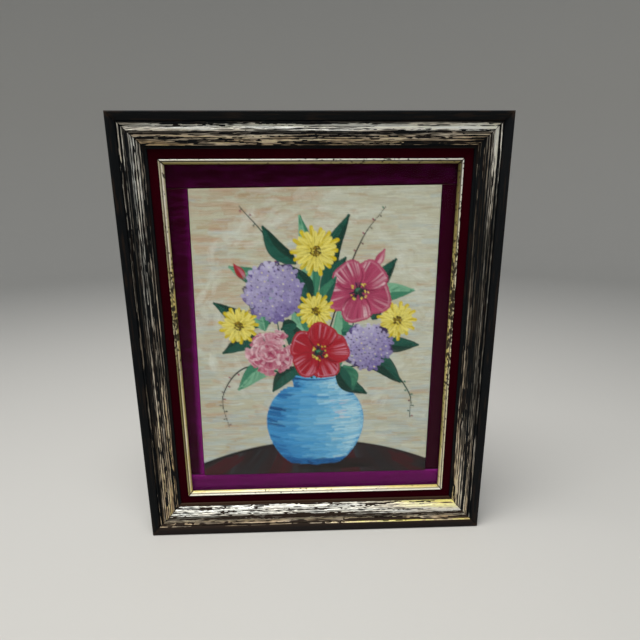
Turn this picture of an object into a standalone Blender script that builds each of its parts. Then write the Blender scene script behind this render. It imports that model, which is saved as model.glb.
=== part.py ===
"""Framed oil painting, 298 x 355 mm, made to hang on a wall.

Frame of the model: metres, +Z up, the picture looks towards -Y and the wall is the plane Y = 0.
The origin is the middle of the sawtooth hanger's back, where the picture meets the wall.

A moulding's section is drawn with two measures: inset, from the frame's outer edge towards the
picture, and depth, from the frame's front arris towards the wall.
"""

import math

import bmesh
import bpy
from mathutils import Vector

# ---- driving dimensions, metres ----
FRAME_WIDTH = 0.298
FRAME_HEIGHT = 0.355
FRAME_DEPTH = 0.027
GAP = 0.0003

# outer moulding
ARRIS_RADIUS = 0.0012
BAND_INSET = 0.0060
BAND_DEPTH = 0.0034
BEAD_INSET = 0.0073
BEAD_HALF_WIDTH = 0.0009
BEAD_RISE = 0.0011
BEAD_FOOT_DEPTH = 0.0044
QUIRK_INSET = 0.0086
QUIRK_DEPTH = 0.0051
HUMP_START = 0.0089
HUMP_CREST_DEPTH = 0.0041
HUMP_RISE = 0.0011
HUMP_CREST_SHARE = 0.26
HUMP_END = 0.0222
HUMP_END_DEPTH = 0.0102
FLUTES = 6
FLUTE_DEPTH = 0.00022
LIP_DEPTH = 0.0108
SIGHT_INSET = 0.0244
LIP_BACK_DEPTH = 0.0122
REBATE_INSET = 0.0209

# velvet-covered liner
LINER_INSET = REBATE_INSET + GAP
LINER_FRONT = LIP_BACK_DEPTH + GAP
LINER_SIGHT_INSET = 0.0312
LINER_FALL = 0.0003
LINER_EDGE_RADIUS = 0.0005
LINER_PLATE_BACK = 0.0151
LINER_REBATE_INSET = 0.0265
LINER_BACK = 0.0234

# gilt slip inside the liner
SLIP_INSET = LINER_SIGHT_INSET + GAP
SLIP_SIGHT_INSET = 0.0350
SLIP_FOOT_DEPTH = 0.0126
SLIP_RIDGE_WIDTH = 0.0015
SLIP_RIDGE_RISE = 0.0011
SLIP_BEAD_RISE = 0.0009
SLIP_WALL_LEAN = 0.0003

# glass, picture and what backs them
PACK_INSET = LINER_REBATE_INSET + GAP
GLASS_FRONT = LINER_PLATE_BACK + GAP
GLASS_THICKNESS = 0.0016
PANEL_FRONT = 0.0175
PANEL_BACK = 0.0206
VELVET_FRONT = 0.0192
STRIP_JOINT = 0.0003
PANEL_MARGIN = 0.0004
# The panel is a little out of square: X, and inset below the frame's top edge, of its four corners.
PANEL_TOP_LEFT = (-0.0980, 0.0526)
PANEL_TOP_RIGHT = (0.1030, 0.0506)
PANEL_BOTTOM_RIGHT = (0.1023, 0.3063)
PANEL_BOTTOM_LEFT = (-0.1026, 0.3060)
BOARD_FRONT = PANEL_BACK + GAP
BOARD_BACK = LINER_BACK
EDGE_ROUND = 0.0004

# framing points, driven into the rebate's wall behind the board
POINT_LENGTH = 0.0120
POINT_WIDTH = 0.0085
POINT_THICKNESS = 0.0006
POINT_IN_WOOD = 0.0040
POINT_DEPTH = LINER_BACK + GAP
POINT_SLOT_CLEARANCE = 0.0003
POINTS_AT_SHARE = (-0.25, 0.25)

# sawtooth hanger
HANGER_DROP = 0.0105
HANGER_THICKNESS = 0.0008
HANGER_RISE = 0.0014
HANGER_HEIGHT = 0.0100
HANGER_TOOTH_RUN = 0.0280
HANGER_TEETH = 10
HANGER_TOOTH_HEIGHT = 0.0016
HANGER_BEND_RUN = 0.0022
HANGER_TAB = 0.0070
NAIL_SHANK_RADIUS = 0.0007
NAIL_HEAD_RADIUS = 0.0019
NAIL_HEAD_HEIGHT = 0.0008
NAIL_LENGTH = 0.0100
NAIL_SIDES = 16

# ---- places that follow from them ----
FRAME_BACK_Y = -(HANGER_THICKNESS + HANGER_RISE + GAP)
FRAME_FRONT_Y = FRAME_BACK_Y - FRAME_DEPTH
FRAME_TOP_Z = HANGER_DROP
FRAME_CENTRE_Z = FRAME_TOP_Z - FRAME_HEIGHT / 2
# Each mitre is cut back by this much along its rail, which leaves GAP between the two faces.
MITRE_CUT = GAP / math.sqrt(2)

# sRGB colour, roughness and metallic value of each finish
FINISHES = {
    "ebonised_leafed_wood": ((0.30, 0.27, 0.21), 0.45, 0.3),
    "burgundy_velvet": ((0.22, 0.01, 0.06), 0.95, 0.0),
    "gilt_wood": ((0.82, 0.70, 0.42), 0.35, 0.8),
    "clear_glass": ((0.92, 0.96, 0.95), 0.05, 0.0),
    "purple_velvet": ((0.36, 0.04, 0.31), 0.95, 0.0),
    "oil_on_canvas_board": ((0.80, 0.75, 0.64), 0.6, 0.0),
    "hardboard": ((0.38, 0.25, 0.15), 0.8, 0.0),
    "zinc_plated_steel": ((0.62, 0.62, 0.60), 0.4, 1.0),
}

SIDES = ("bottom", "right", "top", "left")


def clear_scene():
    for old in list(bpy.data.objects):
        bpy.data.objects.remove(old, do_unlink=True)


def linear(value):
    return value / 12.92 if value <= 0.04045 else ((value + 0.055) / 1.055) ** 2.4


def make_finish(name):
    colour, roughness, metallic = FINISHES[name]
    finish = bpy.data.materials.new(name)
    finish.use_nodes = True
    shader = finish.node_tree.nodes["Principled BSDF"]
    shader.inputs["Base Color"].default_value = (*[linear(c) for c in colour], 1.0)
    shader.inputs["Roughness"].default_value = roughness
    shader.inputs["Metallic"].default_value = metallic
    if name == "clear_glass":
        shader.inputs["Transmission Weight"].default_value = 1.0
    return finish


def depth_y(depth):
    """The Y of a depth below the frame's front arris."""
    return FRAME_FRONT_Y + depth


def add_object(name, mesh, finish):
    piece = bpy.data.objects.new(name, mesh)
    mesh.materials.append(finish)
    bpy.context.scene.collection.objects.link(piece)
    return piece


def mesh_from(name, builder):
    """A new mesh made from a bmesh, with its faces turned outwards."""
    mesh = bpy.data.meshes.new(name)
    bmesh.ops.recalc_face_normals(builder, faces=builder.faces)
    builder.to_mesh(mesh)
    builder.free()
    return mesh


def arch(start, end, rise, steps):
    """Points of half an ellipse from start to end, standing proud of the line between them."""
    points = []
    for step in range(steps + 1):
        angle = math.pi * step / steps
        share = (1 - math.cos(angle)) / 2
        inset = start[0] + (end[0] - start[0]) * share
        foot = start[1] + (end[1] - start[1]) * share
        points.append((inset, foot - rise * math.sin(angle)))
    return points


def hump_depth(share):
    """The combed hump: a short rise to its crest, then a long fall that steepens."""
    if share < HUMP_CREST_SHARE:
        return HUMP_CREST_DEPTH + HUMP_RISE * (1 - share / HUMP_CREST_SHARE) ** 2
    fall = (share - HUMP_CREST_SHARE) / (1 - HUMP_CREST_SHARE)
    return HUMP_CREST_DEPTH + (HUMP_END_DEPTH - HUMP_CREST_DEPTH) * fall**1.6


def moulding_section():
    """The outer moulding, from the back of its outer edge round its face to the rebate."""
    points = [(0.0, FRAME_DEPTH)]
    for step in range(5):
        angle = math.pi / 2 * step / 4
        inset = ARRIS_RADIUS * (1 - math.cos(angle))
        points.append((inset, ARRIS_RADIUS * (1 - math.sin(angle))))
    points.append((BAND_INSET, BAND_DEPTH))
    bead_start = (BEAD_INSET - BEAD_HALF_WIDTH, BEAD_FOOT_DEPTH)
    bead_end = (BEAD_INSET + BEAD_HALF_WIDTH, BEAD_FOOT_DEPTH)
    points += arch(bead_start, bead_end, BEAD_RISE, 8)
    points.append((QUIRK_INSET, QUIRK_DEPTH))
    steps = FLUTES * 4
    for step in range(steps + 1):
        share = step / steps
        inset = HUMP_START + (HUMP_END - HUMP_START) * share
        flute = FLUTE_DEPTH * (1 - math.cos(2 * math.pi * FLUTES * share)) / 2
        points.append((inset, hump_depth(share) + flute))
    points.append((HUMP_END + GAP, LIP_DEPTH))
    points.append((SIGHT_INSET, LIP_DEPTH + GAP / 2))
    points.append((SIGHT_INSET, LIP_BACK_DEPTH))
    points.append((REBATE_INSET, LIP_BACK_DEPTH))
    points.append((REBATE_INSET, FRAME_DEPTH))
    return points


def liner_section():
    """The liner: a wooden L whose velvet-covered front plate shows inside the moulding."""
    edge = LINER_FRONT + LINER_FALL
    return [
        (LINER_INSET, LINER_BACK),
        (LINER_INSET, LINER_FRONT),
        (SIGHT_INSET, LINER_FRONT),
        (LINER_SIGHT_INSET - LINER_EDGE_RADIUS, edge),
        (LINER_SIGHT_INSET, edge + LINER_EDGE_RADIUS),
        (LINER_SIGHT_INSET, LINER_PLATE_BACK),
        (LINER_REBATE_INSET, LINER_PLATE_BACK),
        (LINER_REBATE_INSET, LINER_BACK),
    ]


def slip_section():
    """The gilt slip: a thin outer ridge, a quirk and a rounded bead that falls to the glass."""
    ridge_end = (SLIP_INSET + SLIP_RIDGE_WIDTH, SLIP_FOOT_DEPTH)
    bead_end = (SLIP_SIGHT_INSET - SLIP_WALL_LEAN, SLIP_FOOT_DEPTH)
    points = [(SLIP_INSET, LINER_PLATE_BACK)]
    points += arch((SLIP_INSET, SLIP_FOOT_DEPTH), ridge_end, SLIP_RIDGE_RISE, 6)
    points += arch(ridge_end, bead_end, SLIP_BEAD_RISE, 10)[1:]
    points.append((SLIP_SIGHT_INSET, LINER_PLATE_BACK))
    return points


def mitred_rail(name, section, side, finish):
    """Sweeps a section along one side of the frame, between two mitres."""
    across = SIDES.index(side) % 2 == 0
    half_length = (FRAME_WIDTH if across else FRAME_HEIGHT) / 2
    half_reach = (FRAME_HEIGHT if across else FRAME_WIDTH) / 2
    builder = bmesh.new()
    ends = []
    for sign in (-1, 1):
        ring = []
        for inset, depth in section:
            along = sign * (half_length - inset - MITRE_CUT)
            ring.append(builder.verts.new((along, depth_y(depth), inset - half_reach)))
        ends.append(ring)
    count = len(section)
    for i in range(count):
        j = (i + 1) % count
        builder.faces.new((ends[0][i], ends[0][j], ends[1][j], ends[1][i]))
    builder.faces.new(ends[0])
    builder.faces.new(ends[1])
    rail = add_object(name, mesh_from(name, builder), finish)
    rail.location = (0.0, 0.0, FRAME_CENTRE_Z)
    # A turn about +Y carries the bottom rail to the left, so the right side takes a negative one.
    rail.rotation_euler = (0.0, -math.pi / 2 * SIDES.index(side), 0.0)
    rail.data.shade_smooth()
    rail.data.set_sharp_from_angle(angle=math.radians(30))
    return rail


def slab(name, low, high, finish, rounding=0.0):
    """A board with its long edges eased, given by two corners."""
    builder = bmesh.new()
    bmesh.ops.create_cube(builder, size=1.0)
    size = Vector(high) - Vector(low)
    bmesh.ops.scale(builder, vec=size, verts=builder.verts)
    bmesh.ops.translate(builder, vec=(Vector(low) + Vector(high)) / 2, verts=builder.verts)
    if rounding:
        bmesh.ops.bevel(builder, geom=list(builder.edges), offset=rounding, segments=2,
                        profile=0.5, affect="EDGES")
    return add_object(name, mesh_from(name, builder), finish)


def glass_pane(finish):
    half = FRAME_WIDTH / 2 - PACK_INSET
    low = (-half, depth_y(GLASS_FRONT), FRAME_TOP_Z - FRAME_HEIGHT + PACK_INSET)
    high = (half, depth_y(GLASS_FRONT + GLASS_THICKNESS), FRAME_TOP_Z - PACK_INSET)
    return slab("glass_pane", low, high, finish)


def prism(name, corners, front, back, finish, rounding):
    """A board with four corners, each (X, Z), between two depths, with its edges eased."""
    builder = bmesh.new()
    rings = []
    for depth in (front, back):
        rings.append([builder.verts.new((x, depth_y(depth), z)) for x, z in corners])
    for i in range(4):
        j = (i + 1) % 4
        builder.faces.new((rings[0][i], rings[0][j], rings[1][j], rings[1][i]))
    builder.faces.new(rings[0])
    builder.faces.new(rings[1])
    bmesh.ops.recalc_face_normals(builder, faces=builder.faces)
    bmesh.ops.bevel(builder, geom=list(builder.edges), offset=rounding, segments=2,
                    profile=0.5, affect="EDGES")
    return add_object(name, mesh_from(name, builder), finish)


def panel_corners(grow=0.0):
    """The panel's corners (X, Z) from the top left clockwise, moved out by grow."""
    top_left, top_right, bottom_right, bottom_left = (
        (x, FRAME_TOP_Z - inset)
        for x, inset in (PANEL_TOP_LEFT, PANEL_TOP_RIGHT, PANEL_BOTTOM_RIGHT, PANEL_BOTTOM_LEFT))
    return [
        (top_left[0] - grow, top_left[1] + grow),
        (top_right[0] + grow, top_right[1] + grow),
        (bottom_right[0] + grow, bottom_right[1] - grow),
        (bottom_left[0] - grow, bottom_left[1] - grow),
    ]


def painted_panel(finish):
    return prism("painted_panel", panel_corners(), PANEL_FRONT, PANEL_BACK, finish, EDGE_ROUND)


def along_edge(start, end, x):
    """The Z at some X on the straight line through two corners."""
    return start[1] + (end[1] - start[1]) * (x - start[0]) / (end[0] - start[0])


def velvet_strips(finish):
    """Two strips run right across, above and below the panel, and two stand between them."""
    half = FRAME_WIDTH / 2 - PACK_INSET
    top = FRAME_TOP_Z - PACK_INSET
    bottom = FRAME_TOP_Z - FRAME_HEIGHT + PACK_INSET
    top_left, top_right, bottom_right, bottom_left = panel_corners(PANEL_MARGIN)

    def upper(x, joint=0.0):
        return (x, along_edge(top_left, top_right, x) - joint)

    def lower(x, joint=0.0):
        return (x, along_edge(bottom_left, bottom_right, x) + joint)

    outlines = {
        "top": [(-half, top), (half, top), upper(half), upper(-half)],
        "bottom": [lower(-half), lower(half), (half, bottom), (-half, bottom)],
        "left": [upper(-half, STRIP_JOINT), upper(top_left[0], STRIP_JOINT),
                 lower(bottom_left[0], STRIP_JOINT), lower(-half, STRIP_JOINT)],
        "right": [upper(top_right[0], STRIP_JOINT), upper(half, STRIP_JOINT),
                  lower(half, STRIP_JOINT), lower(bottom_right[0], STRIP_JOINT)],
    }
    for side, corners in outlines.items():
        prism(f"velvet_strip_{side}", corners, VELVET_FRONT, PANEL_BACK, finish, EDGE_ROUND)


def backing_board(finish):
    half = FRAME_WIDTH / 2 - PACK_INSET
    low = (-half, depth_y(BOARD_FRONT), FRAME_TOP_Z - FRAME_HEIGHT + PACK_INSET)
    high = (half, depth_y(BOARD_BACK), FRAME_TOP_Z - PACK_INSET)
    return slab("backing_board", low, high, finish, EDGE_ROUND)


def point_outline(widen):
    """A framing point seen flat: a blade that narrows to a tip in the wood, grown by widen."""
    half = POINT_WIDTH / 2 + widen
    tail = POINT_LENGTH - POINT_IN_WOOD + widen
    shoulder = -POINT_IN_WOOD * 0.35
    tip = -POINT_IN_WOOD - widen
    return [(-half, tail), (-half, shoulder), (0.0, tip), (half, shoulder), (half, tail)]


def point_blade(name, side, share, widen, finish):
    """One framing point, or the slot that it sits in where widen is above zero."""
    across = SIDES.index(side) % 2 == 0
    length = FRAME_WIDTH if across else FRAME_HEIGHT
    half_reach = (FRAME_HEIGHT if across else FRAME_WIDTH) / 2
    builder = bmesh.new()
    rings = []
    for depth in (POINT_DEPTH - widen, POINT_DEPTH + POINT_THICKNESS + widen):
        ring = []
        for along, inward in point_outline(widen):
            height = REBATE_INSET + inward - half_reach
            ring.append(builder.verts.new((share * length + along, depth_y(depth), height)))
        rings.append(ring)
    count = len(rings[0])
    for i in range(count):
        j = (i + 1) % count
        builder.faces.new((rings[0][i], rings[0][j], rings[1][j], rings[1][i]))
    builder.faces.new(rings[0])
    builder.faces.new(rings[1])
    blade = add_object(name, mesh_from(name, builder), finish)
    blade.location = (0.0, 0.0, FRAME_CENTRE_Z)
    blade.rotation_euler = (0.0, -math.pi / 2 * SIDES.index(side), 0.0)
    return blade


def cut(piece, cutter):
    """Takes the cutter's shape out of a piece."""
    cutter.hide_render = True
    cutter.display_type = "WIRE"
    boolean = piece.modifiers.new(cutter.name, "BOOLEAN")
    boolean.operation = "DIFFERENCE"
    boolean.solver = "EXACT"
    boolean.object = cutter


def framing_points(rails, finish):
    number = 0
    for side in SIDES:
        for share in POINTS_AT_SHARE:
            number += 1
            point_blade(f"framing_point_{number}", side, share, 0.0, finish)
            slot = point_blade(f"point_slot_{number}", side, share, POINT_SLOT_CLEARANCE, finish)
            cut(rails[side], slot)


def hanger_stations():
    """Places along the hanger: X, how far it stands off the wood, and its lower edge."""
    full = -HANGER_HEIGHT / 2
    stations = [
        (-HANGER_TOOTH_RUN / 2 - HANGER_BEND_RUN - HANGER_TAB, 0.0, full),
        (-HANGER_TOOTH_RUN / 2 - HANGER_BEND_RUN, 0.0, full),
    ]
    for step in range(2 * HANGER_TEETH + 1):
        x = HANGER_TOOTH_RUN * (step / (2 * HANGER_TEETH) - 0.5)
        notch = HANGER_TOOTH_HEIGHT if step % 2 else 0.0
        stations.append((x, HANGER_RISE, full + notch))
    stations.append((HANGER_TOOTH_RUN / 2 + HANGER_BEND_RUN, 0.0, full))
    stations.append((HANGER_TOOTH_RUN / 2 + HANGER_BEND_RUN + HANGER_TAB, 0.0, full))
    return stations


def sawtooth_hanger(finish):
    builder = bmesh.new()
    rings = []
    for x, stand_off, lower in hanger_stations():
        front = FRAME_BACK_Y + GAP + stand_off
        back = front + HANGER_THICKNESS
        upper = HANGER_HEIGHT / 2
        corners = ((front, lower), (front, upper), (back, upper), (back, lower))
        rings.append([builder.verts.new((x, y, z)) for y, z in corners])
    for before, after in zip(rings, rings[1:]):
        for i in range(4):
            j = (i + 1) % 4
            builder.faces.new((before[i], before[j], after[j], after[i]))
    builder.faces.new(rings[0])
    builder.faces.new(rings[-1])
    return add_object("sawtooth_hanger", mesh_from("sawtooth_hanger", builder), finish)


def turned(name, profile, x, finish):
    """A solid turned about an axis along Y, from (radius, Y) points that start and end on it."""
    builder = bmesh.new()
    rings = []
    for radius, y in profile:
        if radius == 0.0:
            rings.append([builder.verts.new((x, y, 0.0))])
            continue
        ring = []
        for step in range(NAIL_SIDES):
            angle = 2 * math.pi * step / NAIL_SIDES
            spot = (x + radius * math.cos(angle), y, radius * math.sin(angle))
            ring.append(builder.verts.new(spot))
        rings.append(ring)
    for before, after in zip(rings, rings[1:]):
        for i in range(NAIL_SIDES):
            j = (i + 1) % NAIL_SIDES
            corners = (before[i % len(before)], before[j % len(before)],
                       after[j % len(after)], after[i % len(after)])
            builder.faces.new(list(dict.fromkeys(corners)))
    piece = add_object(name, mesh_from(name, builder), finish)
    piece.data.shade_smooth()
    piece.data.set_sharp_from_angle(angle=math.radians(40))
    return piece


def hanger_nails(hanger, rail, finish):
    """A small round-headed nail through each of the hanger's two tabs."""
    seat = FRAME_BACK_Y + GAP + HANGER_THICKNESS + GAP
    tip = seat - NAIL_LENGTH
    waist = tip + NAIL_SHANK_RADIUS * 2
    middle = HANGER_TOOTH_RUN / 2 + HANGER_BEND_RUN + HANGER_TAB / 2
    for side, x in (("left", -middle), ("right", middle)):
        head = [(NAIL_HEAD_RADIUS, seat)]
        for step in range(1, 4):
            angle = math.pi / 2 * step / 4
            head.append((NAIL_HEAD_RADIUS * math.cos(angle),
                         seat + NAIL_HEAD_HEIGHT * math.sin(angle)))
        profile = [(0.0, tip), (NAIL_SHANK_RADIUS, waist), (NAIL_SHANK_RADIUS, seat)]
        profile += head + [(0.0, seat + NAIL_HEAD_HEIGHT)]
        turned(f"hanger_nail_{side}", profile, x, finish)
        wide = NAIL_SHANK_RADIUS + GAP
        bore = [(0.0, tip - GAP), (wide, tip - GAP), (wide, seat + GAP), (0.0, seat + GAP)]
        hole = turned(f"nail_hole_{side}", bore, x, finish)
        cut(hanger, hole)
        cut(rail, hole)


def main():
    clear_scene()
    finishes = {name: make_finish(name) for name in FINISHES}
    rails = {}
    for side in SIDES:
        rails[side] = mitred_rail(f"frame_rail_{side}", moulding_section(), side,
                                  finishes["ebonised_leafed_wood"])
        mitred_rail(f"liner_rail_{side}", liner_section(), side, finishes["burgundy_velvet"])
        mitred_rail(f"gilt_slip_{side}", slip_section(), side, finishes["gilt_wood"])
    glass_pane(finishes["clear_glass"])
    painted_panel(finishes["oil_on_canvas_board"])
    velvet_strips(finishes["purple_velvet"])
    backing_board(finishes["hardboard"])
    framing_points(rails, finishes["zinc_plated_steel"])
    hanger = sawtooth_hanger(finishes["zinc_plated_steel"])
    hanger_nails(hanger, rails["top"], finishes["zinc_plated_steel"])


main()
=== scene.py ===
"""Looks of a framed oil painting: a still life of flowers behind glass, in a combed and leafed moulding.

The packed solids are the fixed frame. Sizes are in metres, except in the painter's part, which works in
millimetres from the panel's top left corner. A moulding's section is drawn by inset, from the frame's outer
edge towards the picture, and by depth, from the front arris towards the wall.
"""

import math

import bpy
import numpy as np
from mathutils import Matrix, Vector


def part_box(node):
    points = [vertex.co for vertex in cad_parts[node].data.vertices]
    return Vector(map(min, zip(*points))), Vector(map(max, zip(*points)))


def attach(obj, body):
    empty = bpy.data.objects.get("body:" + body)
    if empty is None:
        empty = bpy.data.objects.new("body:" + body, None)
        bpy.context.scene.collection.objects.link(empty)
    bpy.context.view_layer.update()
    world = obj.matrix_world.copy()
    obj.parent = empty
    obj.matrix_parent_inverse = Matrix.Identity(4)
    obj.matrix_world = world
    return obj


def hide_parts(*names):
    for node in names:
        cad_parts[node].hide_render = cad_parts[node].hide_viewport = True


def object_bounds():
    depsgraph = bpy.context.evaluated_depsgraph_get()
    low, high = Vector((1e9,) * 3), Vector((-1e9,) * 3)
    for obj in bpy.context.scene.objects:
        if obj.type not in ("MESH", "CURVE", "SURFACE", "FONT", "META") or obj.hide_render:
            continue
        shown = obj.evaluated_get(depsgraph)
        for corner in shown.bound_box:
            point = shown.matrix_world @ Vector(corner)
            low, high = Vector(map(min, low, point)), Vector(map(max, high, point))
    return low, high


bl_info = {
    "name": "Framed oil painting",
    "version": (1, 0, 0),
    "blender": (4, 5, 0),
    "location": "View3D > Sidebar > Picture",
    "description": "Builds the finish of a small framed oil painting round its packed solids",
    "category": "Add Mesh",
}

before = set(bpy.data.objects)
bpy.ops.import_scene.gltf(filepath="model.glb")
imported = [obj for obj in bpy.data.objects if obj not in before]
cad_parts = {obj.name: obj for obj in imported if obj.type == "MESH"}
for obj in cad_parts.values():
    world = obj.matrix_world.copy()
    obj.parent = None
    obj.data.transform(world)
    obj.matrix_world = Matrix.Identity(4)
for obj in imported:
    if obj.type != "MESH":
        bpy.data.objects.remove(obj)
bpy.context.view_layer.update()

MM = 0.001
BODY = "root"
# The noise repeats after so many random values.
LATTICE_SIZE = 256
SIDES = ("bottom", "right", "top", "left")
FRAME_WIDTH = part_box("frame_rail_right")[1].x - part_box("frame_rail_left")[0].x
FRAME_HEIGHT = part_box("frame_rail_top")[1].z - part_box("frame_rail_bottom")[0].z
FRAME_FRONT_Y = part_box("frame_rail_bottom")[0].y
FRAME_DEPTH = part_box("frame_rail_bottom")[1].y - FRAME_FRONT_Y
FRAME_CENTRE_Z = (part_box("frame_rail_top")[1].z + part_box("frame_rail_bottom")[0].z) / 2
FLOOR_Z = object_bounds()[0][2]


def linear(code):
    """An sRGB hex colour as linear red, green and blue."""
    values = [int(code[i:i + 2], 16) / 255 for i in (1, 3, 5)]
    return tuple(v / 12.92 if v <= 0.04045 else ((v + 0.055) / 1.055) ** 2.4 for v in values)


# ---------------------------------------------------------------- settings

class MouldingLook(bpy.types.PropertyGroup):
    """The outer moulding's finish."""
    comb_depth: bpy.props.FloatProperty(
        name="Comb depth", description="Depth of the combed grooves", default=0.00026, unit="LENGTH")
    comb_pitch: bpy.props.FloatProperty(
        name="Comb pitch", description="Distance between combed grooves", default=0.0011, unit="LENGTH")
    streak_length: bpy.props.FloatProperty(
        name="Streak length", description="Usual length of one streak of leaf", default=0.024,
        unit="LENGTH")
    stain: bpy.props.FloatVectorProperty(
        name="Stain", description="Black stain on the wood", default=linear("#080b0e"), subtype="COLOR")
    rubbed: bpy.props.FloatVectorProperty(
        name="Rubbed wood", description="Wood showing through the stain", default=linear("#3e2c1e"),
        subtype="COLOR")
    silver: bpy.props.FloatVectorProperty(
        name="Silver leaf", description="Colour of bright silver leaf", default=linear("#f4f5ee"),
        subtype="COLOR")
    # with the tone table this dark stands for tarnish and for painted shade
    silver_tarnished_and_shaded: bpy.props.FloatVectorProperty(
        name="Tarnished silver", description="Colour of tarnished silver leaf",
        default=linear("#1c1c17"), subtype="COLOR")
    gold: bpy.props.FloatVectorProperty(
        name="Gold leaf", description="Colour of the gold leaf", default=linear("#c6a87e"),
        subtype="COLOR")
    # the brightest gold tones reach this yellow: a painted reflection, strongest at the bottom rail's right
    # end
    gold_lit: bpy.props.FloatVectorProperty(
        name="Bright gold", description="Colour of the brightest gold leaf", default=linear("#f9f08a"),
        subtype="COLOR")
    # with the tone table this dark stands for tarnish and for painted shade
    gold_tarnished_and_shaded: bpy.props.FloatVectorProperty(
        name="Tarnished gold", description="Colour of tarnished gold leaf", default=linear("#221a12"),
        subtype="COLOR")
    bare_wood: bpy.props.FloatVectorProperty(
        name="Bare wood", description="Colour of the unfinished back", default=linear("#a37f58"),
        subtype="COLOR")


class VelvetLook(bpy.types.PropertyGroup):
    """The velvet on the liner and round the panel."""
    burgundy: bpy.props.FloatVectorProperty(
        name="Burgundy", description="Colour of the liner's pile", default=linear("#2b0009"),
        subtype="COLOR")
    # The surround's lit and shaded purples: painted light mixes them, lighter beside the panel and along
    # the bottom, painted shade beside the slip and over the top.
    purple: bpy.props.FloatVectorProperty(
        name="Purple", description="Colour of the surround's pile where it stands up",
        default=linear("#861a78"), subtype="COLOR")
    shaded_purple: bpy.props.FloatVectorProperty(
        name="Deep purple", description="Colour of the surround's pile where it lies flat",
        default=linear("#2d0014"), subtype="COLOR")
    pile: bpy.props.FloatProperty(
        name="Pile", description="Unevenness of the pile", default=0.00010, unit="LENGTH")


class SlipLook(bpy.types.PropertyGroup):
    """The gilt slip."""
    # near white: the ridge's pale gilding with a painted highlight on it
    ridge: bpy.props.FloatVectorProperty(
        name="Ridge", description="Colour of the gilding on the outer ridge", default=linear("#fffaec"),
        subtype="COLOR")
    gilt: bpy.props.FloatVectorProperty(
        name="Gilt", description="Colour of the gilding on the bead", default=linear("#dac778"),
        subtype="COLOR")
    bole: bpy.props.FloatVectorProperty(
        name="Bole", description="Colour under the gilding", default=linear("#2c220f"), subtype="COLOR")


class PaintingLook(bpy.types.PropertyGroup):
    """The painted panel."""
    relief: bpy.props.FloatProperty(
        name="Relief", description="Height of the thickest paint", default=0.00030, unit="LENGTH")
    thread_pitch: bpy.props.FloatProperty(
        name="Thread pitch", description="Distance between the ground's ribs", default=0.0011,
        unit="LENGTH")
    seed: bpy.props.IntProperty(
        name="Seed", description="Start of the painter's random choices", default=7)


class StageLook(bpy.types.PropertyGroup):
    """Floor, lamps and camera."""
    floor: bpy.props.FloatVectorProperty(
        name="Floor", description="Colour of the floor", default=linear("#cfcdc8"), subtype="COLOR")
    overhead: bpy.props.FloatProperty(
        name="Overhead lamp", description="Power of the overhead lamp in watts", default=18.5)
    fill: bpy.props.FloatProperty(
        name="Fill lamp", description="Power of the low fill lamp in watts", default=1.5)


# ---------------------------------------------------------------- nodes and meshes

def add_node(tree, kind, inputs=None, **settings):
    """Adds one shader node.

    inputs maps a socket's name or number to a value, to another socket, or to a node, whose first output is
    meant.
    """
    node = tree.nodes.new(kind)
    for name, value in settings.items():
        setattr(node, name, value)
    for name, value in (inputs or {}).items():
        if isinstance(value, bpy.types.Node):
            value = value.outputs[0]
        if isinstance(value, bpy.types.NodeSocket):
            tree.links.new(value, node.inputs[name])
        else:
            node.inputs[name].default_value = value
    return node


def new_material(name):
    """A material with an empty tree, and that tree."""
    material = bpy.data.materials.new(name)
    material.use_nodes = True
    material.node_tree.nodes.clear()
    return material, material.node_tree


def rgba(colour):
    """A linear colour as a socket takes it, with full alpha."""
    return (*colour, 1.0)


def eased(share):
    """A share from 0 to 1 with a gentle start and end."""
    return share * share * (3 - 2 * share)


def smooth(low, high, x):
    """0 below low, 1 above high and a smooth step between."""
    return eased(np.clip((x - low) / (high - low), 0, 1))


def lattice(x, y, seed):
    """Smooth noise from 0 to 1, with one random value at each whole x and y."""
    table = np.random.default_rng(seed).random((LATTICE_SIZE, LATTICE_SIZE))
    column, row = np.floor(x).astype(int), np.floor(y).astype(int)
    across, down = eased(x - column), eased(y - row)
    left, right = column % LATTICE_SIZE, (column + 1) % LATTICE_SIZE
    near, far = row % LATTICE_SIZE, (row + 1) % LATTICE_SIZE
    first = table[near, left] * (1 - across) + table[near, right] * across
    second = table[far, left] * (1 - across) + table[far, right] * across
    return first * (1 - down) + second * down


def settle(piece, slot, *nodes):
    """Puts a finished piece on the body in place of its CAD nodes; the slot is not used."""
    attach(piece, BODY)
    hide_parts(*nodes)


def mesh_piece(name, points, faces):
    """A smooth-shaded mesh object in the scene."""
    mesh = bpy.data.meshes.new(name)
    mesh.from_pydata(np.asarray(points, float).reshape(-1, 3).tolist(), [], faces)
    mesh.polygons.foreach_set("use_smooth", [True] * len(mesh.polygons))
    mesh.update()
    piece = bpy.data.objects.new(name, mesh)
    bpy.context.scene.collection.objects.link(piece)
    return piece


def store(mesh, name, values, kind="FLOAT"):
    """Keeps one number, vector or colour at each point of a mesh."""
    attribute = mesh.attributes.new(name, kind, "POINT")
    field = {"FLOAT": "value", "FLOAT_VECTOR": "vector", "FLOAT_COLOR": "color"}[kind]
    attribute.data.foreach_set(field, np.asarray(values, np.float32).ravel())


# ---------------------------------------------------------------- mitred rails

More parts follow.
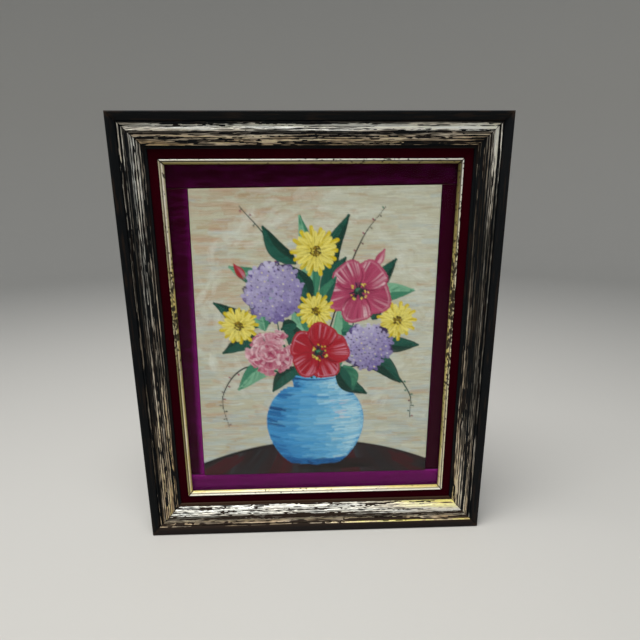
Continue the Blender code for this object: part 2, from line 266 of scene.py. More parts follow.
# The moulding from its outer edge: a band, a bead, a quirk, a crested hump and a lip. BAND_END and QUIRK
# are each an inset and a depth; a foot and a depth are measured from the front.
ARRIS = 1.2 * MM
BAND_END = (6.0 * MM, 3.4 * MM)
BEAD_START, BEAD_END, BEAD_FOOT, BEAD_RISE = 6.4 * MM, 8.2 * MM, 4.4 * MM, 1.1 * MM
QUIRK = (8.6 * MM, 5.1 * MM)
HUMP_START, HUMP_END = 8.9 * MM, 22.2 * MM
CREST_DEPTH, CREST_SHARE, CREST_RISE, HUMP_FOOT = 4.1 * MM, 0.26, 1.1 * MM, 10.2 * MM
LIP_DEPTH, LIP_BACK = 10.8 * MM, 12.2 * MM
SIGHT, REBATE = 24.4 * MM, 20.9 * MM
MITRE_GAP = 0.05 * MM
# More columns stand at these distances from each mitre, so that it stays crisp.
NEAR_MITRE = (0.15 * MM, 0.35 * MM, 0.55 * MM)
# Points along a rail of the moulding, the liner and the slip.
MOULDING_COLUMNS, LINER_COLUMNS, SLIP_COLUMNS = 500, 300, 400

LINER_OUTER, LINER_SIGHT, LINER_REBATE = 21.2 * MM, 31.2 * MM, 26.5 * MM
LINER_FRONT, LINER_EDGE, LINER_PLATE, LINER_BACK = 12.5 * MM, 12.8 * MM, 15.1 * MM, 23.4 * MM

SLIP_OUTER, SLIP_RIDGE_END, SLIP_BEAD, SLIP_SIGHT = 31.5 * MM, 33.0 * MM, 33.25 * MM, 35.0 * MM
SLIP_FOOT, SLIP_BACK = 12.6 * MM, 15.1 * MM

# What a section's point lies on.
PIECE_FACE, PIECE_SIDE, PIECE_BACK = 1, 0, -1


def arch(start, end, foot, rise, count):
    """Half an ellipse from one inset to another, standing rise proud of the foot depth."""
    angle = np.linspace(0, math.pi, count)
    insets = start + (end - start) * (1 - np.cos(angle)) / 2
    return [(i, d) for i, d in zip(insets, foot - rise * np.sin(angle))]


def hump_depth(share):
    """A short rise to the crest, then a long fall that steepens towards the lip."""
    rise = CREST_DEPTH + CREST_RISE * (1 - share / CREST_SHARE) ** 2
    fall = np.clip((share - CREST_SHARE) / (1 - CREST_SHARE), 0, 1)
    return np.where(share < CREST_SHARE, rise, CREST_DEPTH + (HUMP_FOOT - CREST_DEPTH) * fall**1.6)


def marked(points, mark):
    """Adds to each point what it lies on."""
    return [(inset, depth, mark) for inset, depth in points]


def moulding_section():
    """The outer moulding as a closed run of (inset, depth, mark)."""
    outer = [(0.0, depth) for depth in np.linspace(FRAME_DEPTH, ARRIS, 16)]
    angle = np.linspace(0, math.pi / 2, 6)[1:]
    outer += list(zip(ARRIS * (1 - np.cos(angle)), ARRIS * (1 - np.sin(angle))))
    share = np.linspace(0, 1, 14)[1:]
    face = list(zip(ARRIS + (BAND_END[0] - ARRIS) * share, BAND_END[1] * share**1.15))
    face += arch(BEAD_START, BEAD_END, BEAD_FOOT, BEAD_RISE, 12)
    face += [(QUIRK[0] - 0.2 * MM, QUIRK[1]), (QUIRK[0] + 0.15 * MM, QUIRK[1])]
    share = np.linspace(0, 1, 62)
    face += list(zip(HUMP_START + (HUMP_END - HUMP_START) * share, hump_depth(share)))
    face += [(i, LIP_DEPTH + 0.1 * MM) for i in np.linspace(HUMP_END + 0.2 * MM, SIGHT - 0.3 * MM, 7)]
    face += [(SIGHT, LIP_DEPTH + 0.4 * MM)]
    back = [(SIGHT, LIP_BACK), (REBATE, LIP_BACK), (REBATE, FRAME_DEPTH)]
    return marked(outer, PIECE_SIDE) + marked(face, PIECE_FACE) + marked(back, PIECE_BACK)


def liner_section():
    """The liner: a wooden L with velvet over its front plate."""
    edge = [(LINER_SIGHT - 0.5 * MM * (1 - math.sin(a)), LINER_EDGE + 0.5 * MM * (1 - math.cos(a)))
            for a in np.linspace(0, math.pi / 2, 5)]
    share = np.linspace(0, 1, 18)
    face = [(LINER_OUTER + 0.2 * MM, LINER_FRONT)]
    face += list(zip(SIGHT - 0.8 * MM + (LINER_SIGHT - 0.5 * MM - SIGHT + 0.8 * MM) * share,
                     LINER_FRONT + (LINER_EDGE - LINER_FRONT) * share))
    face += edge[1:]
    back = [(LINER_SIGHT, LINER_PLATE), (LINER_REBATE, LINER_PLATE), (LINER_REBATE, LINER_BACK),
            (LINER_OUTER, LINER_BACK), (LINER_OUTER, LINER_FRONT + 0.2 * MM)]
    return marked(face, PIECE_FACE) + marked(back, PIECE_BACK)


def slip_section():
    """The gilt slip: a thin outer ridge, a quirk and a rounded bead that falls to the glass."""
    face = arch(SLIP_OUTER, SLIP_RIDGE_END, SLIP_FOOT, 1.2 * MM, 13)
    face += [(SLIP_RIDGE_END + 0.12 * MM, SLIP_FOOT + 0.25 * MM)]
    angle = np.linspace(0.12, 1.0, 15) * math.pi / 2
    face += list(zip(SLIP_BEAD + (SLIP_SIGHT - SLIP_BEAD) * np.sin(angle) ** 1.2,
                     SLIP_BACK - (SLIP_BACK - SLIP_FOOT + 0.1 * MM) * np.cos(angle - 0.18) ** 1.3))
    back = [(SLIP_SIGHT, SLIP_BACK), (SLIP_OUTER, SLIP_BACK)]
    return marked(face, PIECE_FACE) + marked(back, PIECE_BACK)


def sweep(name, side, section, columns, relief):
    """A closed mitred rail. relief(along, inset, face) says how far each point stands out of the section.

    Returns the piece, and the grids of along, inset and face that its finish is worked out from.
    """
    across = SIDES.index(side) % 2 == 0
    length, reach = (FRAME_WIDTH, FRAME_HEIGHT) if across else (FRAME_HEIGHT, FRAME_WIDTH)
    section = np.array(section)
    run = np.roll(section[:, :2], -1, 0) - np.roll(section[:, :2], 1, 0)
    normal = np.stack([run[:, 1], -run[:, 0]], 1)
    normal /= np.maximum(np.linalg.norm(normal, axis=1, keepdims=True), 1e-9)
    near_mitre = 1 - np.array(NEAR_MITRE) / (length / 2)
    share = np.linspace(-1, 1, columns - 2 * len(NEAR_MITRE))
    share = np.sort(np.concatenate([share, near_mitre, -near_mitre]))[None, :]
    inset = np.repeat(section[:, :1], columns, 1)
    face = np.repeat(section[:, 2:3], columns, 1)
    along = share * (length / 2 - inset - MITRE_GAP)
    height = relief(along, inset, face)
    inset_out = inset + normal[:, :1] * height
    depth_out = section[:, 1:2] + normal[:, 1:2] * height
    points = np.stack([share * (length / 2 - inset_out - MITRE_GAP), FRAME_FRONT_Y + depth_out,
                       inset_out - reach / 2], 2)
    rows = len(section)
    index = np.arange(rows * columns).reshape(rows, columns)
    after = np.roll(index, -1, 0)
    quads = np.stack([index[:, :-1], index[:, 1:], after[:, 1:], after[:, :-1]], 2).reshape(-1, 4)
    faces = quads.tolist() + [index[:, 0].tolist(), index[::-1, -1].tolist()]
    piece = mesh_piece(name, points, faces)
    turn = Matrix.Rotation(-math.pi / 2 * SIDES.index(side), 4, "Y")
    piece.data.transform(Matrix.Translation((0, 0, FRAME_CENTRE_Z)) @ turn)
    piece.data.set_sharp_from_angle(angle=math.radians(50))
    # each rail is cut from another stretch of wood
    stretch = np.full_like(along, 0.5 * SIDES.index(side))
    store(piece.data, "grain", np.stack([along, inset + section[:, 1:2], stretch], 2), "FLOAT_VECTOR")
    return piece, along, inset, face


def back_faces(piece, columns, face):
    """Gives the second material to the quads whose section points are both on the back."""
    mark = face[:, 0]
    behind = (mark < 0) & (np.roll(mark, -1) <= 0)
    numbers = np.repeat(behind, columns - 1).astype(int)
    # the two mitred ends come last and keep the first material
    numbers = np.concatenate([numbers, [0, 0]])
    piece.data.polygons.foreach_set("material_index", numbers.tolist())


# ---------------------------------------------------------------- outer moulding

COMB_TEETH_APART = 1.6 * MM
# By rail: how much of each tooth's line is pressed through the leaf, how much leaf lies in the quirk, how
# far the streaks are drawn out, and how much more of the leaf is left.
COMB_BY_RAIL = {"bottom": (0.45, 0.8, 1.6, -0.01), "right": (0.9, 0.1, 4.6, 0.06),
                "top": (0.55, 0.9, 1.9, 0.02), "left": (0.9, 0.0, 4.6, 0.035)}

# Insets of the bead, the outer edge, the outer slope, the crest, the middle and the inner slope.
LEAF_ZONES = (7.3 * MM, 9.3 * MM, 12.0 * MM, 14.0 * MM, 16.8 * MM, 20.5 * MM)
# By rail, from one mitre (-1) to the other (1): how gold the leaf is in each zone, and how bright. The
# brightness is partly painted light: painted highlights on the zones that face the light, such as the top
# rail's outer edge and slope and the bottom rail's inner slope, and a painted yellow reflection at the
# bottom rail's right end.
LEAF_BY_RAIL = {
    "bottom": ((-0.9, (0.8, 0.6, 0.6, 0.3, 0.1, 0.1), (0.20, 1.20, 0.45, 0.35, 1.15, 1.20)),
               (0.2, (0.8, 0.6, 0.6, 0.3, 0.1, 0.1), (0.20, 1.00, 0.35, 0.35, 1.20, 1.20)),
               (0.5, (0.8, 0.6, 0.5, 0.2, 0.1, 0.5), (0.45, 0.95, 0.40, 0.65, 1.30, 1.20)),
               (0.9, (0.9, 0.5, 0.5, 0.1, 0.5, 1.0), (0.50, 1.10, 0.50, 1.00, 1.40, 1.90))),
    "right": ((-0.9, (0.4, 0.6, 0.6, 0.5, 0.5, 0.8), (0.60, 0.75, 0.95, 0.80, 0.80, 1.15)),
              (-0.3, (0.3, 0.4, 0.4, 0.4, 0.5, 0.6), (0.35, 0.35, 0.35, 0.22, 0.18, 0.60)),
              (0.5, (0.3, 0.4, 0.4, 0.4, 0.5, 0.6), (0.28, 0.20, 0.30, 0.08, 0.08, 0.22)),
              (0.9, (0.1, 0.1, 0.2, 0.3, 0.5, 0.6), (0.60, 1.65, 1.20, 0.70, 0.30, 0.40))),
    "top": ((-0.9, (0.4, 0.0, 0.1, 0.4, 0.7, 0.8), (0.10, 1.70, 1.35, 0.50, 0.70, 0.60)),
            (0.1, (0.4, 0.0, 0.1, 0.4, 0.7, 0.8), (0.10, 1.65, 1.15, 0.25, 0.95, 0.75)),
            (0.9, (0.4, 0.1, 0.2, 0.5, 0.7, 0.8), (0.10, 1.25, 1.00, 0.20, 0.85, 0.65))),
    "left": ((-0.9, (0.3, 0.3, 0.3, 0.1, 0.1, 0.4), (0.60, 0.70, 0.35, 0.45, 1.20, 0.45)),
             (-0.3, (0.4, 0.4, 0.3, 0.2, 0.2, 0.4), (0.50, 0.15, 0.15, 0.40, 0.60, 0.50)),
             (0.3, (0.6, 0.6, 0.6, 0.5, 0.5, 0.7), (0.50, 0.15, 0.35, 0.80, 0.65, 0.65)),
             (0.9, (0.7, 0.8, 0.8, 0.8, 0.8, 0.9), (0.60, 0.60, 0.70, 0.90, 0.85, 0.90))),
}


def between(places, rows, share, inset):
    """The value at each point, between the rows given at places along a rail and the zones across it."""
    grids = [np.interp(inset, LEAF_ZONES, row) for row in rows]
    position = np.interp(share, places, range(len(places)))
    value = grids[0]
    for number, grid in enumerate(grids[1:]):
        step = np.clip(position - number, 0, 1)
        value = value * (1 - step) + grid * step
    return value


def comb_streaks(along, inset, look, stretch, seed):
    """Noise drawn out along the rail: long combed lines, shorter breaks in them and specks."""
    pitch, run = look.comb_pitch, look.streak_length * stretch
    drift = 0.4 * lattice(along / (2.5 * run), inset / (6 * pitch), seed + 1)
    lines = lattice(along / (1.5 * run), inset / (0.80 * pitch) + drift, seed + 2)
    fine = lattice(along / (0.5 * run), inset / (0.58 * pitch) + drift, seed + 3)
    breaks = lattice(along / (0.18 * run), inset / (0.52 * pitch) + drift, seed + 4)
    specks = lattice(along / (0.06 * run), inset / (0.45 * pitch), seed + 5)
    return 0.30 * lines + 0.32 * fine + 0.21 * breaks + 0.17 * specks


def comb_lines(along, inset, pressing, stretch, seed):
    """Dark lines that the comb's teeth drew side by side, wavering together and broken here and there."""
    waver = 0.5 * MM * (lattice(along / (30 * MM), np.zeros_like(along), seed + 12) - 0.5)
    waver = waver + 0.25 * MM * (lattice(along / (5 * MM), inset / (3 * MM), seed + 13) - 0.5)
    place = (inset - QUIRK[0] + waver) / COMB_TEETH_APART
    tooth = np.round(place)
    away = np.abs(place - tooth) * COMB_TEETH_APART
    # 3.7 gives each tooth its own row of the noise
    pressed = lattice(along / (11 * MM * stretch), tooth * 3.7, seed + 14)
    pressed = smooth(0.92 - pressing, 1.08 - pressing, 0.1 + 0.8 * pressed)
    return pressed * (1 - smooth(0.22 * MM, 0.40 * MM, away))


def comb_relief(side, look, seed):
    """Grooves on the hump and bead, and faint open grain on the band and outer side."""
    def relief(along, inset, face):
        streaks = comb_streaks(along, inset, look, COMB_BY_RAIL[side][2], seed)
        on_hump = smooth(HUMP_START, HUMP_START + 0.6 * MM, inset) * (inset < HUMP_END)
        on_bead = (inset > BEAD_START) & (inset < BEAD_END)
        grooves = smooth(0.42, 0.60, streaks) - 1
        pores = smooth(0.60, 0.78, lattice(along / (4 * MM), inset / (0.35 * MM), seed + 8))
        height = look.comb_depth * grooves * (on_hump + 0.35 * on_bead) - 0.05 * MM * pores
        return height * (face == PIECE_FACE)
    return relief


def leaf_finish(along, inset, face, side, look, seed):
    """At each point: how much leaf is left, how gold and bright it is, and how far the stain is rubbed."""
    length = FRAME_WIDTH if SIDES.index(side) % 2 == 0 else FRAME_HEIGHT
    from_mitre = length / 2 - inset - np.abs(along)
    places, golds, tones = zip(*LEAF_BY_RAIL[side])
    share = along / (length / 2 - inset)
    golden = between(places, golds, share, inset)
    # partly painted light: painted highlights where the leaf faces the light, painted shade where it does
    # not
    bright = between(places, tones, share, inset)
    on_bead = smooth(BEAD_START, BEAD_START + 0.3 * MM, inset)
    on_bead = on_bead * (1 - smooth(BEAD_END - 0.3 * MM, BEAD_END, inset))
    if side == "bottom":
        on_step = (inset > BAND_END[0] - 0.4 * MM) & (inset < BEAD_START + 0.4 * MM)
        on_bead = np.maximum(on_bead, on_step)
        bright = np.maximum(bright, on_step * (0.5 + 1.0 * smooth(-0.1, 0.3, share)))
    on_hump = smooth(HUMP_START, HUMP_START + 0.5 * MM, inset)
    on_hump = on_hump * (1 - smooth(HUMP_END - 0.3 * MM, HUMP_END + 0.1 * MM, inset))
    pressing, in_quirk, stretch, more = COMB_BY_RAIL[side]
    pressing = pressing * np.clip(1.6 - bright, 0.5, 1.15)
    in_quirk = in_quirk * ((inset >= BEAD_END - 0.3 * MM) & (inset <= HUMP_START + 0.5 * MM))
    patch = lattice(along / (35 * MM), inset / (4 * MM), seed + 6) - 0.5
    streaks = comb_streaks(along, inset, look, stretch, seed)
    fullest = 0.405 - 0.10 * smooth(1.25, 1.45, bright)
    threshold = np.maximum(0.60 - more - 0.21 * bright, fullest) - 0.10 * patch
    nicks = smooth(0.72, 0.82, lattice(along / (3.5 * MM * stretch), inset / (0.55 * MM), seed + 15))
    leaf = smooth(threshold - 0.025, threshold + 0.025, streaks) * (1 - 0.8 * nicks * (bright < 1.3))
    leaf = leaf * np.maximum(np.maximum(on_bead, on_hump), in_quirk)
    leaf = leaf * (1 - comb_lines(along, inset, pressing, stretch, seed) * (inset > HUMP_START))
    leaf = leaf * smooth(0.1 * MM, 0.9 * MM, from_mitre + 0.4 * MM * lattice(along / MM, inset / MM, 3))
    golden = golden + 0.4 * (lattice(along / (20 * MM), inset / (1.2 * MM), seed + 7) - 0.5)
    lines = lattice(along / (30 * MM), inset / (0.5 * MM), seed + 10) - 0.5
    glints = lattice(along / (5 * MM), inset / (0.6 * MM), seed + 11) - 0.5
    brightest = 1.1 + 0.2 * smooth(1.2, 1.6, bright)
    bright = np.clip(bright * (1 + 1.3 * lines + 1.1 * glints) + 0.1 * patch, 0.1, brightest) ** 2
    bright = np.minimum(bright, brightest**2 - 0.2)
    rubbed = rubbed_wood(along, inset, side, from_mitre, seed)
    return leaf * (face == PIECE_FACE), np.clip(golden, 0, 1), bright, rubbed


def rubbed_wood(along, inset, side, from_mitre, seed):
    """How far the stain is rubbed: in streaks, at the outer tips, and on the bottom rail's band and lip."""
    # the outer side has one inset throughout, so its rows set the streaks apart
    row = np.arange(len(inset))[:, None] * (inset < 0.1 * MM)
    wear = lattice(along / (14 * MM), inset / (0.9 * MM) + 1.3 * row, seed + 9)
    tips = 1 - smooth(0, 6 * MM, from_mitre + inset + 6 * MM * (wear - 0.5))
    rubbed = np.clip(smooth(0.55, 0.9, wear) * 0.45 + tips * (inset < BEAD_START), 0, 1)
    if side == "bottom":
        band = 0.3 * smooth(0.3 * MM, 1.5 * MM, inset) + 0.6 * smooth(3 * MM, 6 * MM, inset)
        rubbed = np.maximum(rubbed, np.minimum(band + (inset > HUMP_END), 1.9))
    return rubbed


def moulding_material(look):
    """Ebonised wood, combed and rubbed with silver and gold leaf.

    The eye gets a dull near-black ground with open grain, part-metal streaks that run from tarnished brown
    to bright silver or yellow where leaf is left, and brown tips where the stain is rubbed through. The
    streaks' tone is partly painted light: the dull ends also stand for painted shade, the brightest silver
    for painted highlights, and the strongest yellow for a painted reflection.
    """
    material, tree = new_material("ebonised wood, combed and leafed")
    marks = {}
    for name in ("grain", "leaf", "golden", "bright", "rubbed"):
        marks[name] = add_node(tree, "ShaderNodeAttribute", attribute_name=name)
    # scratches 0.25 mm wide and some 4 mm long
    drawn = add_node(tree, "ShaderNodeVectorMath", {
        0: marks["grain"].outputs["Vector"], 1: (260, 4000, 7)}, operation="MULTIPLY")
    scratch = add_node(tree, "ShaderNodeTexNoise", {
        "Vector": drawn, "Scale": 1.0, "Detail": 4.0, "Roughness": 0.62})
    edge = add_node(tree, "ShaderNodeMath", {
        0: marks["leaf"].outputs["Fac"], 1: scratch.outputs["Fac"]}, operation="ADD")
    cover = add_node(tree, "ShaderNodeMapRange", {
        "Value": edge, "From Min": 0.86, "From Max": 1.10}, interpolation_type="SMOOTHSTEP")
    swing = add_node(tree, "ShaderNodeMapRange", {
        "Value": scratch.outputs["Fac"], "From Min": 0.3, "From Max": 0.7, "To Min": 0.55,
        "To Max": 1.35})
    tone = add_node(tree, "ShaderNodeMath", {
        0: marks["bright"].outputs["Fac"], 1: swing}, operation="MULTIPLY")
    # the tone carries painted light: its low end tarnish and painted shade, its high end painted highlights
    # and, on gold, a painted yellow reflection
    silver = add_node(tree, "ShaderNodeMix", {
        "Factor": tone, 6: rgba(look.silver_tarnished_and_shaded), 7: rgba(look.silver)}, data_type="RGBA")
    half = add_node(tree, "ShaderNodeMapRange", {"Value": tone, "From Max": 0.8})
    full = add_node(tree, "ShaderNodeMapRange", {"Value": tone, "From Min": 0.95, "From Max": 1.3})
    tan = add_node(tree, "ShaderNodeMix", {
        "Factor": half, 6: rgba(look.gold_tarnished_and_shaded), 7: rgba(look.gold)}, data_type="RGBA")
    yellow = add_node(tree, "ShaderNodeMix", {
        "Factor": full, 6: tan.outputs[2], 7: rgba(look.gold_lit)}, data_type="RGBA")
    leafed = add_node(tree, "ShaderNodeMix", {
        "Factor": marks["golden"].outputs["Fac"], 6: silver.outputs[2],
        7: yellow.outputs[2]}, data_type="RGBA")
    worn = add_node(tree, "ShaderNodeMath", {
        0: marks["rubbed"].outputs["Fac"], 1: scratch.outputs["Fac"]}, operation="MULTIPLY")
    wood = add_node(tree, "ShaderNodeMix", {
        "Factor": worn, 6: rgba(look.stain), 7: rgba(look.rubbed)}, data_type="RGBA")
    colour = add_node(tree, "ShaderNodeMix", {
        "Factor": cover, 6: wood.outputs[2], 7: leafed.outputs[2]}, data_type="RGBA")
    metal = add_node(tree, "ShaderNodeMath", {0: cover, 1: 0.3}, operation="MULTIPLY")
    rough = add_node(tree, "ShaderNodeMapRange", {"Value": cover, "To Min": 0.58, "To Max": 0.36})
    height = add_node(tree, "ShaderNodeMath", {0: cover, 1: scratch.outputs["Fac"]}, operation="ADD")
    bump = add_node(tree, "ShaderNodeBump", {"Height": height, "Strength": 0.55, "Distance": 0.00012})
    shader = add_node(tree, "ShaderNodeBsdfPrincipled", {
        "Base Color": colour.outputs[2], "Metallic": metal, "Roughness": rough,
        "Specular IOR Level": 0.12, "Normal": bump})
    add_node(tree, "ShaderNodeOutputMaterial", {"Surface": shader})
    return material


def bare_wood_material(colour):
    """Bare softwood, sawn. The eye gets dull tan wood with long darker grain lines and saw marks."""
    material, tree = new_material("bare softwood, sawn")
    grain = add_node(tree, "ShaderNodeAttribute", attribute_name="grain")
    # grain lines 1.25 mm apart and some 70 mm long, crossed by saw marks 1.1 mm apart
    drawn = add_node(tree, "ShaderNodeVectorMath", {
        0: grain.outputs["Vector"], 1: (14, 800, 3)}, operation="MULTIPLY")
    lines = add_node(tree, "ShaderNodeTexNoise", {
        "Vector": drawn, "Scale": 1.0, "Detail": 5.0, "Roughness": 0.65})
    saw = add_node(tree, "ShaderNodeVectorMath", {
        0: grain.outputs["Vector"], 1: (900, 90, 3)}, operation="MULTIPLY")
    marks = add_node(tree, "ShaderNodeTexNoise", {"Vector": saw, "Scale": 1.0, "Detail": 2.0})
    ramp = add_node(tree, "ShaderNodeMapRange", {
        "Value": lines.outputs["Fac"], "From Min": 0.32, "From Max": 0.68})
    dark = tuple(0.42 * c for c in colour)
    mixed = add_node(tree, "ShaderNodeMix", {
        "Factor": ramp, 6: rgba(dark), 7: rgba(colour)}, data_type="RGBA")
    height = add_node(tree, "ShaderNodeMath", {
        0: lines.outputs["Fac"], 1: marks.outputs["Fac"]}, operation="ADD")
    bump = add_node(tree, "ShaderNodeBump", {"Height": height, "Strength": 0.4, "Distance": 0.0003})
    shader = add_node(tree, "ShaderNodeBsdfPrincipled", {
        "Base Color": mixed.outputs[2], "Roughness": 0.78, "Normal": bump})
    add_node(tree, "ShaderNodeOutputMaterial", {"Surface": shader})
    return material


class PICTURE_OT_moulding(bpy.types.Operator):
    """Build the four combed and leafed rails of the outer moulding"""
    bl_idname = "picture.moulding"
    bl_label = "Outer moulding"

    def execute(self, context):
        look = context.scene.moulding_look
        leafed = moulding_material(look)
        bare = bare_wood_material(look.bare_wood)
        for number, side in enumerate(SIDES):
            # far enough apart that each rail has its own streaks
            seed = 20 * (number + 1)
            piece, along, inset, face = sweep(f"moulding_{side}", side, moulding_section(),
                                              MOULDING_COLUMNS, comb_relief(side, look, seed))
            finish = leaf_finish(along, inset, face, side, look, seed)
            # bright carries the leaf's own tone together with painted light
            for attribute, values in zip(("leaf", "golden", "bright", "rubbed"), finish):
                store(piece.data, attribute, values)
            piece.data.materials.append(leafed)
            piece.data.materials.append(bare)
            back_faces(piece, MOULDING_COLUMNS, face)
            settle(piece, "ebonised_leafed_wood", f"frame_rail_{side}")
        return {"FINISHED"}


# ---------------------------------------------------------------- velvet liner and gilt slip

def velvet_material(name, deep, light, sheen):
    """Velvet glued down: cut pile, brushed unevenly.

    The eye gets a deep colour, paler at a grazing angle and where painted light falls, with soft
    mottling. The pile, finer than the render shows, is drawn as grain of 0.4 mm.
    """
    material, tree = new_material(name)
    place = add_node(tree, "ShaderNodeAttribute", attribute_name="grain")
    painted_light = add_node(tree, "ShaderNodeAttribute", attribute_name="painted_light")
    # patches some 14 by 4 mm where the pile leans another way
    soft = add_node(tree, "ShaderNodeVectorMath", {
        0: place.outputs["Vector"], 1: (70, 240, 1)}, operation="MULTIPLY")
    lean = add_node(tree, "ShaderNodeTexNoise", {"Vector": soft, "Scale": 1.0, "Detail": 3.0})
    pile = add_node(tree, "ShaderNodeTexNoise", {
        "Vector": place.outputs["Vector"], "Scale": 2500.0, "Detail": 2.0})
    both = add_node(tree, "ShaderNodeMath", {
        0: lean.outputs["Fac"], 1: pile.outputs["Fac"]}, operation="ADD")
    uneven = add_node(tree, "ShaderNodeMapRange", {
        "Value": both, "From Min": 0.6, "From Max": 1.4, "To Min": -0.25, "To Max": 0.25})
    # painted light, with the pile's patches over it
    lit_and_uneven = add_node(tree, "ShaderNodeMath", {
        0: painted_light.outputs["Fac"], 1: uneven}, operation="ADD", use_clamp=True)
    mixed = add_node(tree, "ShaderNodeMix", {
        "Factor": lit_and_uneven, 6: rgba(deep), 7: rgba(light)}, data_type="RGBA")
    bump = add_node(tree, "ShaderNodeBump", {
        "Height": pile.outputs["Fac"], "Strength": 0.5, "Distance": 0.0002})
    shader = add_node(tree, "ShaderNodeBsdfPrincipled", {
        "Base Color": mixed.outputs[2], "Roughness": 0.95, "Specular IOR Level": 0.02,
        "Sheen Weight": 0.04, "Sheen Roughness": 0.35, "Sheen Tint": rgba(sheen), "Normal": bump})
    add_node(tree, "ShaderNodeOutputMaterial", {"Surface": shader})
    return material


def pile_relief(look):
    """Soft hollows in the liner's pile, where the moulding's lip leaves it free."""
    def relief(along, inset, face):
        height = lattice(along / (7 * MM), inset / (2.2 * MM), 31) - 0.5
        height = height + 0.5 * (lattice(along / (1.6 * MM), inset / (0.8 * MM), 32) - 0.5)
        return look.pile * height * (face == PIECE_FACE) * (inset > SIGHT - 0.5 * MM)
    return relief


class PICTURE_OT_liner(bpy.types.Operator):
    """Build the velvet-covered liner inside the moulding"""
    bl_idname = "picture.liner"
    bl_label = "Velvet liner"

    def execute(self, context):
        look = context.scene.velvet_look
        deep = tuple(0.6 * value for value in look.burgundy)
        light = tuple(1.4 * value for value in look.burgundy)
        velvet = velvet_material("burgundy velvet, cut pile", deep, light, linear("#7a1830"))
        bare = bare_wood_material(context.scene.moulding_look.bare_wood)
        for side in SIDES:
            piece, _, _, face = sweep(f"liner_{side}", side, liner_section(), LINER_COLUMNS,
                                      pile_relief(look))
            # the same share all round: the liner gets no painted light or shade
            store(piece.data, "painted_light", np.full(face.size, 0.5))
            piece.data.materials.append(velvet)
            piece.data.materials.append(bare)
            back_faces(piece, LINER_COLUMNS, face)
            settle(piece, "burgundy_velvet", f"liner_rail_{side}")
        return {"FINISHED"}


# By rail, at places from one mitre (-1) to the other (1): how gold and how bright the ridge is, the same of
# the bead, and how far the gilding has flaked into pits. The brightness is partly painted light: the bead
# is dark on the top rail and bright on the bottom, as light from above falls on it.
GILDING_BY_RAIL = {
    "left": ((-0.8, 0.40, 0.70, 0.15, 1.00, 0.10), (-0.5, 0.80, 0.40, 0.45, 1.00, 0.40),
             (-0.2, 0.75, 0.95, 0.80, 1.00, 1.00), (0.0, 0.75, 0.85, 0.80, 0.95, 1.00),
             (0.15, 1.00, 0.30, 0.60, 0.70, 0.25),
             (0.6, 1.00, 0.28, 0.45, 1.05, 0.00), (1.0, 1.00, 0.60, 0.80, 1.00, 0.00)),
    "right": ((-1.0, 0.30, 1.00, 0.40, 1.00, 0.00), (-0.6, 0.50, 1.00, 0.80, 0.70, 0.20),
              (-0.1, 0.60, 1.05, 0.85, 1.00, 1.00), (0.25, 0.60, 1.05, 0.85, 1.00, 1.00),
              (0.55, 0.35, 1.00, 0.90, 0.60, 0.80), (0.9, 0.00, 1.05, 1.00, 0.25, 0.25)),
    "top": ((-1.0, 0.00, 1.05, 1.00, 0.40, 0.10), (-0.3, 0.00, 1.05, 0.80, 0.55, 0.40),
            (0.2, 0.00, 1.05, 0.80, 0.55, 0.10), (1.0, 0.05, 1.05, 0.80, 0.50, 0.05)),
    "bottom": ((-1.0, 0.10, 1.00, 0.60, 1.00, 0.00), (-0.1, 0.10, 1.05, 0.30, 1.05, 0.15),
               (0.5, 0.10, 1.05, 0.40, 1.05, 0.05), (1.0, 0.10, 1.05, 0.90, 1.05, 0.00)),
}
# How dark the painted shade is in the quirk between the ridge and the bead: deepest on the top rail and
# least on the bottom.
GROOVE_SHADE_BY_RAIL = {"left": 0.6, "right": 0.75, "top": 0.95, "bottom": 0.45}


